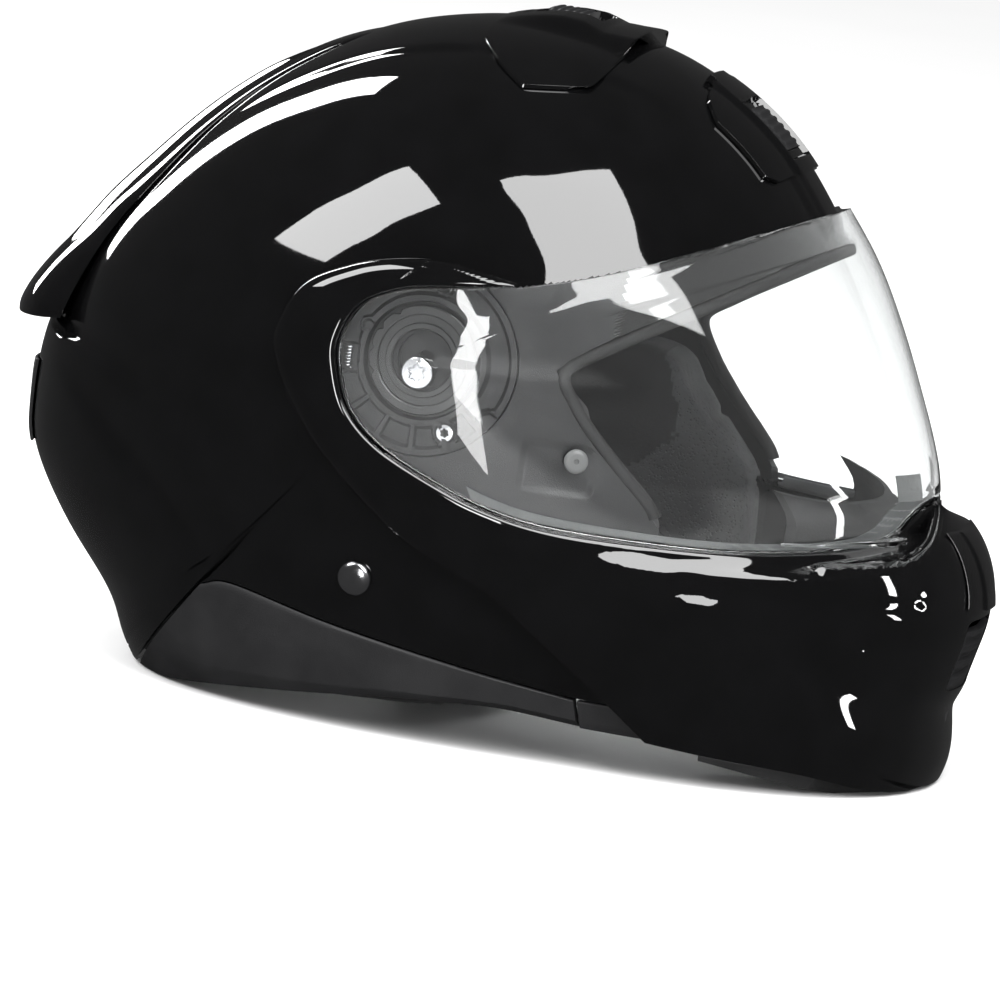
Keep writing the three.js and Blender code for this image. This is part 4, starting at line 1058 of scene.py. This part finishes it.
def side_cover(top, bottom, rows, columns, rise, depth, form=SHELL):
    """Closed cover of the right side between two lines of the side view."""
    a, b = resample(top, rows), resample(bottom, rows)
    t = np.linspace(0, 1, columns)[None, :, None]
    flat = a[:, None] * (1 - t) + b[:, None] * t
    x, z = flat[..., 0], flat[..., 1]
    height = form.height(x, z)
    lift = rise(np.broadcast_to(np.linspace(0, 1, rows)[:, None], x.shape),
                np.broadcast_to(t[..., 0], x.shape))
    outer = np.stack([x, -(height + lift), z], -1)
    inner = np.stack([x, -(height + lift - depth), z], -1)
    return thick(outer, inner)


def skirt(name, sign, old):
    top = [(-73, -93), (-60, -90.4), (-22.6, -97), (24.9, -104.1), (64.7, -109.5)]
    def rise(along, t):
        crease = 0.74 + 0.10 * np.sin(along * math.pi)
        fold = np.maximum(t - crease, 0) / (1 - crease)
        return 1.0 - 4.5 * fold * (0.4 + 0.6 * along) - 0.8 * (1 - smooth_step(t, 0, 0.035))
    points, faces = side_cover(top, SKIRT_BOTTOM, 150, 40, rise, 4.2)
    piece = mesh_object(name, points * [1, sign, 1], faces, MATT, "shell",
                        replaces=old)
    return bevel(piece, 0.6)


pair(skirt, "side_skirt", "lower_skirt")


def tip_cover(name, sign, old):
    rise = lambda along, t: 0.8 - 1.6 * np.maximum(t - 0.8, 0) * 5 * 0.4
    points, faces = side_cover([(65.8, -109.6), (83.2, -110)], [(67.3, -119.4), (90.2, -120.8)], 24, 14,
                               rise, 3.8)
    piece = mesh_object(name, points * [1, sign, 1], faces, MATT, "shell",
                        replaces=old)
    return bevel(piece, 0.7)


pair(tip_cover, "skirt_tip", "intercom_cover")

# ---------------------------------------------------------------- pivots and other hardware

PLATE = 32.4


def base_plate(name, sign, old):
    """Moulded plate round the pivot, with its rims, ribs, screw boss and spring pocket."""
    degrees = np.arange(0, 360, 1.5)
    radius = np.concatenate([[9.4, 10.2], np.linspace(11, PLATE - 0.6, 34), [PLATE]])
    d, r = np.meshgrid(degrees, radius, indexing="ij")
    a = np.radians(d)
    x, z = r * np.cos(a), r * np.sin(a)
    level = np.min([VISOR.height(r * np.cos(a - k), r * np.sin(a - k), -2.9) for k in (0, 0.3, 0.6)],
                   axis=0)
    level = np.minimum(level, 117.0)
    y = np.where(r < 19.9, 113.6, level)
    y = y - 1.5 * smooth_step(r, 22.6, 23.2) * (1 - smooth_step(r, 29.6, 30.2))
    away = lambda cx, cz: np.hypot(x - cx, z - cz)
    for cx, cz, size in ((11.3, -23.3, 4.6), (25.3, -17.5, 4.4), (-20, 9, 3.2), (4, 26, 3.2)):
        y = np.where((r > 20) & (away(cx, cz) < size), level, y)
        y = y - 1.1 * (1 - smooth_step(away(cx, cz), size - 1.6, size - 1.0)) * (r > 20)
    rib = np.abs((d + 6) % 24 - 12) < 1.6
    y = np.where(rib & (r > 22) & (d > 200) & (d < 330), level - 0.3, y)
    spring = (1 - smooth_step(np.abs(x + 26), 3.6, 4.2)) * (1 - smooth_step(np.abs(z + 3), 4.6, 5.2))
    y = y - 1.6 * spring
    outer = np.stack([x, -y, z], -1)
    inner = np.stack([x, np.full(x.shape, -111.0), z], -1)[:, ::6]
    inner = np.concatenate([inner[:, :-1], np.stack([x, np.full(x.shape, -111.0), z], -1)[:, -1:]], 1)
    points, faces = thick(outer, inner, True)
    return mesh_object(name, points * [1, sign, 1], faces, MATT, "chin_bar", 30, old)


pair(base_plate, "pivot_plate", "base_plate")


def hub_ring(name, sign, old):
    profile = [(10.6, 114.4), (10.6, 116.2), (11.0, 116.6), (12.6, 116.6), (12.9, 116.2), (12.9, 115.5),
               (15.4, 115.5),
               (15.7, 116.3), (16.1, 116.6), (18.5, 116.5), (18.9, 116.1), (18.9, 114.4)]
    outer = np.array(profile)
    steps = 120
    turn = np.arange(steps) * 2 * math.pi / steps
    notch = np.array([1.6 * max(0, 1 - abs(((t - math.pi * 0.62) % (2 * math.pi)) / 0.44 % 1 - 0.5) * 5)
                      if math.pi * 0.55 < t < math.pi * 1.2 else 0 for t in turn])
    reach = outer[None, :, 0] - notch[:, None] * (outer[None, :, 0] > 18)
    grid = np.stack([reach * np.cos(turn)[:, None], np.broadcast_to(-outer[None, :, 1], reach.shape),
                     reach * np.sin(turn)[:, None]], -1)
    k = len(profile)
    faces = []
    for i in range(steps):
        a, b = i * k, ((i + 1) % steps) * k
        faces += [(a + j, a + (j + 1) % k, b + (j + 1) % k, b + j) for j in range(k)]
    return mesh_object(name, grid.reshape(-1, 3) * [1, sign, 1], faces, HUB, "visor", 30,
                       old)


pair(hub_ring, "visor_hub", "ratchet_ring")


def star_socket(radius, depth, points=6):
    return lambda r, turn: -depth * (1 - float(smooth_step(r, radius
                                                           * (0.8 + 0.16 * math.cos(points * turn)),
                                                           radius
                                                           * (0.98 + 0.16 * math.cos(points * turn)))))


def screw_head(x, z, radius, base, height, name, sign, old=(), body="chin_bar", socket=0.5):
    rings = list(np.linspace(0, radius * 0.9, 20))
    profile = [(r, height - 0.25 * (r / radius) ** 2) for r in rings]
    profile += [(radius * 0.97, height - 0.5), (radius, height - 0.9), (radius, 0.0), (0, 0.0)]
    points, faces = turned((x, -sign * base, z), (0, -sign, 0), profile, 60,
                           lambda r, t: star_socket(radius * socket, 1.1)(r, t))
    low = np.array([(p[1] * -sign) for p in points])
    points[:, 1] = np.where(low < base, -sign * base, points[:, 1])
    return mesh_object(name, points, faces, STEEL, body, 30, old)


pair(lambda n, s, o: screw_head(-1.3, -4.6, 5.6, 111.6, 5.0, n, s, o), "main_screw", "pivot_bolt")
pair(lambda n, s, o: screw_head(11.3, -23.3, 3.2, 111.6, 5.2, n, s, o, socket=0.45), "small_screw",
     "plate_screw")


def coil(name, sign, old):
    t = np.linspace(0, 1, 180)
    turns = 7 * 2 * math.pi * t
    path = np.stack([-26 + 1.15 * np.cos(turns), -115.0 + 1.15 * np.sin(turns), -6.6 + 7.4 * t], -1)
    points, faces = sweep(path, oval(0.5, 0.5, 8, 2), (0, 0.2, 1))
    return mesh_object(name, points * [1, sign, 1], faces, STEEL, "chin_bar", 60)


pair(coil, "plate_spring")


def rivet(name, sign, old):
    y = float(SHELL.height(-14.4, -78.7))
    step = 0.5
    slope = [(float(SHELL.height(-14.4 + step, -78.7)) - y) / step,
             (float(SHELL.height(-14.4, -78.7 + step)) - y) / step]
    normal = np.array([-slope[0], 1, -slope[1]]) * [1, -sign, 1]
    head = dome(6.0, 0.9, 2.2, 0.3, 16)
    points, faces = turned((-14.4, -sign * y, -78.7), normal, head, 64)
    return mesh_object(name, points, faces, STEEL, "shell", 50, old)


pair(rivet, "strap_stud", "strap_rivet")

# ---------------------------------------------------------------- inner sun visor


SUN_RADIUS, SUN_HALF_WIDTH = 110.5, 106.5


def sun_lens():
    y = 106.1 * np.sin(np.linspace(-1, 1, 141) * math.pi / 2)
    s = np.abs(y)
    arm = smooth_step(s, 70, 90)
    low = 18.5 + 4 * np.exp(-((s / 20) ** 2)) + 11.5 * arm
    high = 60 - 13 * arm
    t = np.linspace(0, 1, 24)[:, None]
    angle = np.radians(low + (high - low) * t)
    grids = []
    for grow in (0, -2):
        share = np.maximum(0, 1 - (y / (SUN_HALF_WIDTH + grow)) ** 2)
        radius = np.maximum((SUN_RADIUS + grow) * np.sqrt(share), 5)
        grids.append(np.stack([radius * np.cos(angle), np.broadcast_to(y, angle.shape),
                               radius * np.sin(angle)], -1))
    points, faces = thick(*grids)
    for sign in (1, -1):
        hub, more = turned((0, sign * 103.2, 0), (0, sign, 0),
                           [(0, 3.0), (11, 3.0), (12, 2.4), (12, 0), (0, 0)], 48)
        faces = faces + [tuple(k + len(points) for k in f) for f in more]
        points = np.vstack([points, hub])
    bevel(mesh_object("sun_lens", points, faces, SMOKE, "sun_visor", 40, "sun_visor"), 0.3)


sun_lens()

# ---------------------------------------------------------------- padding


def soft_body(name, node, material, body, voxel=3.2, rounds=14):
    """Smooth closed pad grown from the space its solid holds."""
    mesh = frame["nodes"][node].data.copy()
    obj = bpy.data.objects.new(name, mesh)
    bpy.context.scene.collection.objects.link(obj)
    mesh.materials.clear()
    mesh.materials.append(material)
    remesh = obj.modifiers.new("remesh", "REMESH")
    remesh.mode, remesh.voxel_size = "VOXEL", voxel * MM
    even = obj.modifiers.new("even", "SMOOTH")
    even.factor, even.iterations = 0.5, rounds
    apply_modifiers(obj)
    obj.data.shade_smooth()
    finish_piece(obj, body, node)
    return obj


def corners_of(obj):
    flat = np.empty(len(obj.data.vertices) * 3)
    obj.data.vertices.foreach_get("co", flat)
    return flat.reshape(-1, 3) / MM - [PIVOT_X, 0, PIVOT_Z]


def move_to(obj, points):
    obj.data.vertices.foreach_set("co", to_row(points).ravel())
    obj.data.update()


INFLATE_FRAMES = 14


def inflate(obj, pressure=4.0, cap=4.0):
    """Cloth blown up from inside for some frames; no point goes further than cap, in millimetres."""
    before = corners_of(obj)
    cloth = obj.modifiers.new("cloth", "CLOTH")
    cloth.settings.use_pressure = True
    cloth.settings.uniform_pressure_force = pressure
    cloth.settings.effector_weights.gravity = 0
    cloth.settings.quality = 4
    scene_now = bpy.context.scene
    for step in range(1, INFLATE_FRAMES + 1):
        scene_now.frame_set(step)
    apply_modifiers(obj)
    scene_now.frame_set(1)
    moved = corners_of(obj) - before
    length = np.linalg.norm(moved, axis=1, keepdims=True)
    move_to(obj, before + moved * np.minimum(1, cap / np.maximum(length, 1e-6)))


def groove(obj, distance, depth, width):
    """Presses a seam into a pad where a distance from it, in millimetres, is near nought."""
    points = corners_of(obj)
    flat = np.empty(len(obj.data.vertices) * 3)
    obj.data.vertices.foreach_get("normal", flat)
    press = depth * np.exp(-((distance(points) / width) ** 2))
    move_to(obj, points - flat.reshape(-1, 3) * press[:, None])


def subdivide(obj):
    obj.modifiers.new("fine", "SUBSURF").levels = 1
    obj.modifiers["fine"].render_levels = 1
    apply_modifiers(obj)
    obj.data.shade_smooth()


for side, sign in (("right", -1), ("left", 1)):
    pad = soft_body(f"cheek_cushion_{side}", f"cheek_pad_{side}", VELOUR, "shell", 3.4, 8)
    inflate(pad, 4.0, 2.0)
    subdivide(pad)
    groove(pad, lambda p: (p[:, 0] * 0.64 - p[:, 2] * 0.77) - 62 + 0 * p[:, 1], 1.6, 1.6)
    groove(pad, lambda p: p[:, 2] + 62 - 0.12 * p[:, 0], 1.4, 1.6)
    pad.data.materials.append(MESH_FABRIC)
    for face in pad.data.polygons:
        x, y, z = (face.center / MM) - Vector((PIVOT_X, 0, PIVOT_Z))
        if x * 0.64 - z * 0.77 > 62 or (face.normal.x > 0.35 and x > 36):
            face.material_index = 1

crown = soft_body("crown_padding", "crown_liner", VELOUR, "shell", 3.4, 6)
subdivide(crown)
for offset in (-46, -16, 16, 46):
    groove(crown, lambda p: p[:, 1] - offset, 1.3, 1.8)
groove(crown, lambda p: p[:, 0] + 10 + 0 * p[:, 1], 1.1, 1.8)

roll = soft_body("neck_padding", "neck_roll", LEATHERETTE, "shell", 3.0, 6)
inflate(roll, 3.0, 1.2)
subdivide(roll)
groove(roll, lambda p: p[:, 2] + 116, 1.0, 1.4)


def curtain():
    """Soft lip over the inside of the chin bar."""
    y = np.linspace(-56, 56, 97)
    t = np.linspace(0, 1, 15)[:, None]
    low, high = -27.0, -14.6
    d = np.broadcast_to(high + (low - high) * t - 1.2 * (y / 56) ** 2, (15, 97))
    yy = np.broadcast_to(y, d.shape)
    outer = CHIN.at_width(d, yy, -32.2 - 0.5 * np.cos(t * 4 * math.pi))
    inner = CHIN.at_width(d, yy, -34.4 - 0.5 * np.cos(t * 4 * math.pi))
    points, faces = thick(outer, inner)
    bevel(mesh_object("breath_curtain", points, faces, RUBBER, "chin_bar", 50, "breath_guard"),
          0.5)


curtain()

# ---------------------------------------------------------------- chin strap


STRAP_WIDTH, STRAP_THICKNESS = 20, 1.7


def webbing(side, sign, end):
    path = np.array([(-14.4, -103, -75.7), (-13.4, -101, -90.7), (-6, -90, -104), (6, -68, -115),
                     (12, -50, -118.6),
                     (14, end, -119)], float)
    path = resample(path, 90)
    tangent = np.gradient(path, axis=0)
    up = np.cross([1.0, 0, 0], tangent)
    points, faces = sweep(path, oval(STRAP_WIDTH, STRAP_THICKNESS, 28, 6), up)
    strap = mesh_object(f"chin_strap_{side}", points * [1, sign, 1], faces, WEBBING, "shell", 50,
                        f"strap_webbing_{side}")
    points, faces = [], []
    for offset in (-7.6, 7.6):
        for k in range(4, 84, 3):
            piece = path[k : k + 2] + [offset, 0, 0]
            lift = up[k] / np.linalg.norm(up[k])
            for face_side in (1, -1):
                p, f = sweep(piece + lift * 0.9 * face_side, oval(0.8, 0.5, 8, 2), lift)
                faces += [tuple(j + len(points) * 16 for j in one) for one in f]
                points.append(p)
    mesh_object(f"strap_stitches_{side}", np.vstack(points) * [1, sign, 1], faces, THREAD, "shell", 50)
    return strap


webbing("right", 1, -34.5)
webbing("left", -1, -30.5)

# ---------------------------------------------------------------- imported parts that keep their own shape

FINISH = {"foam": FOAM, "padding": FOAM, "rubber": RUBBER, "steel": STEEL, "matt_black": MATT,
          "gloss_black": GLOSS, "clear": CLEAR, "smoke": SMOKE, "red": RED, "webbing": FOAM}
for part in frame["record"]["subparts"]:
    node = frame["nodes"][part["node"]]
    node.data.materials.clear()
    node.data.materials.append(FINISH[part["material_slot"]])

# ---------------------------------------------------------------- stage, light and camera

scene = bpy.context.scene
scene.view_settings.view_transform = "Standard"


def stage_plane(name, size, z, material):
    mesh = bpy.data.meshes.new(name)
    mesh.from_pydata([(-size, -size, z), (size, -size, z), (size, size, z), (-size, size, z)], [],
                     [(0, 1, 2, 3)])
    obj = bpy.data.objects.new(name, mesh)
    mesh.materials.append(material)
    scene.collection.objects.link(obj)
    return obj


def floor_material():
    material, tree, shader = nodes_of("studio_floor")
    where = place(tree)
    tree.links.new(ramp(tree, noise(tree, where, 3, 2), [(0.3, grey(0.86)), (0.7, grey(0.88))]),
                   shader.inputs["Base Color"])
    shader.inputs["Roughness"].default_value = 0.9
    shader.inputs["Specular IOR Level"].default_value = 0.0
    return material


floor = stage_plane("studio_floor", 12, -0.0002, floor_material())
floor.visible_glossy = False

world = bpy.data.worlds.new("studio")
scene.world = world
world.use_nodes = True
tree = world.node_tree
background = tree.nodes["Background"]
path = add_node(tree, "ShaderNodeLightPath")
seen = add_node(tree, "ShaderNodeMath", operation="MAXIMUM",
                inputs={0: path.outputs["Is Camera Ray"], 1: path.outputs["Is Transmission Ray"]})
lit = add_node(tree, "ShaderNodeMath", operation="MAXIMUM",
               inputs={0: seen.outputs[0], 1: path.outputs["Is Diffuse Ray"]})
level = add_node(tree, "ShaderNodeMapRange", inputs={"Value": lit.outputs[0], "To Min": 0.05,
                                                     "To Max": 1.0})
tree.links.new(level.outputs["Result"], background.inputs["Strength"])
background.inputs["Color"].default_value = (1, 1, 1, 1)


def softbox(name, direction, distance, size, power, target=(0, 0, 0.12), spin=0.0):
    """Area light seen from the target along a direction, turned to face it."""
    light = bpy.data.lights.new(name, "AREA")
    light.shape = "RECTANGLE"
    light.size, light.size_y = size
    light.energy = power
    obj = bpy.data.objects.new(name, light)
    scene.collection.objects.link(obj)
    towards = Vector(direction).normalized()
    obj.location = Vector(target) + towards * distance
    obj.rotation_euler = towards.to_track_quat("Z", "Y").to_euler()
    obj.rotation_euler.rotate_axis("Z", math.radians(spin))
    obj.visible_camera = False
    return obj


softbox("box_high_rear", (-0.64, -0.62, 0.74), 1.6, (0.5, 0.85), 13, spin=-20)
softbox("box_high_front", (0.42, -0.62, 0.76), 1.6, (0.8, 1.5), 34, spin=8)
softbox("strip_side", (0.1, -1.0, -0.04), 1.3, (0.2, 0.4), 4.0, spin=-12)
softbox("strip_front", (1.0, 0.02, -0.02), 1.6, (0.12, 0.5), 4.5, target=(0.1, 0, 0.15), spin=6)
softbox("strip_rear", (-0.75, 0.5, 0.5), 2.0, (0.3, 1.6), 30)

AZIMUTH, ELEVATION, PITCH = (math.radians(a) for a in (14.5, 6.7, 8.0))
DISTANCE = 3.0
back = Vector((math.sin(AZIMUTH) * math.cos(ELEVATION), -math.cos(AZIMUTH) * math.cos(ELEVATION),
               math.sin(ELEVATION)))
right = Vector((math.cos(AZIMUTH), math.sin(AZIMUTH), 0))
nose_up = Matrix.Rotation(-PITCH, 3, "Y")
back, right = nose_up @ back, nose_up @ right
up = back.cross(right)
target = Vector((0.0003, 0, 0.0730))
camera = bpy.data.objects.new("camera", bpy.data.cameras.new("camera"))
scene.collection.objects.link(camera)
camera.matrix_world = Matrix.Translation(target + back
                                         * DISTANCE) @ Matrix((right, up, back)).transposed().to_4x4()
camera.data.sensor_width = 36
camera.data.lens = 304.56
camera.data.clip_end = 100
scene.camera = camera
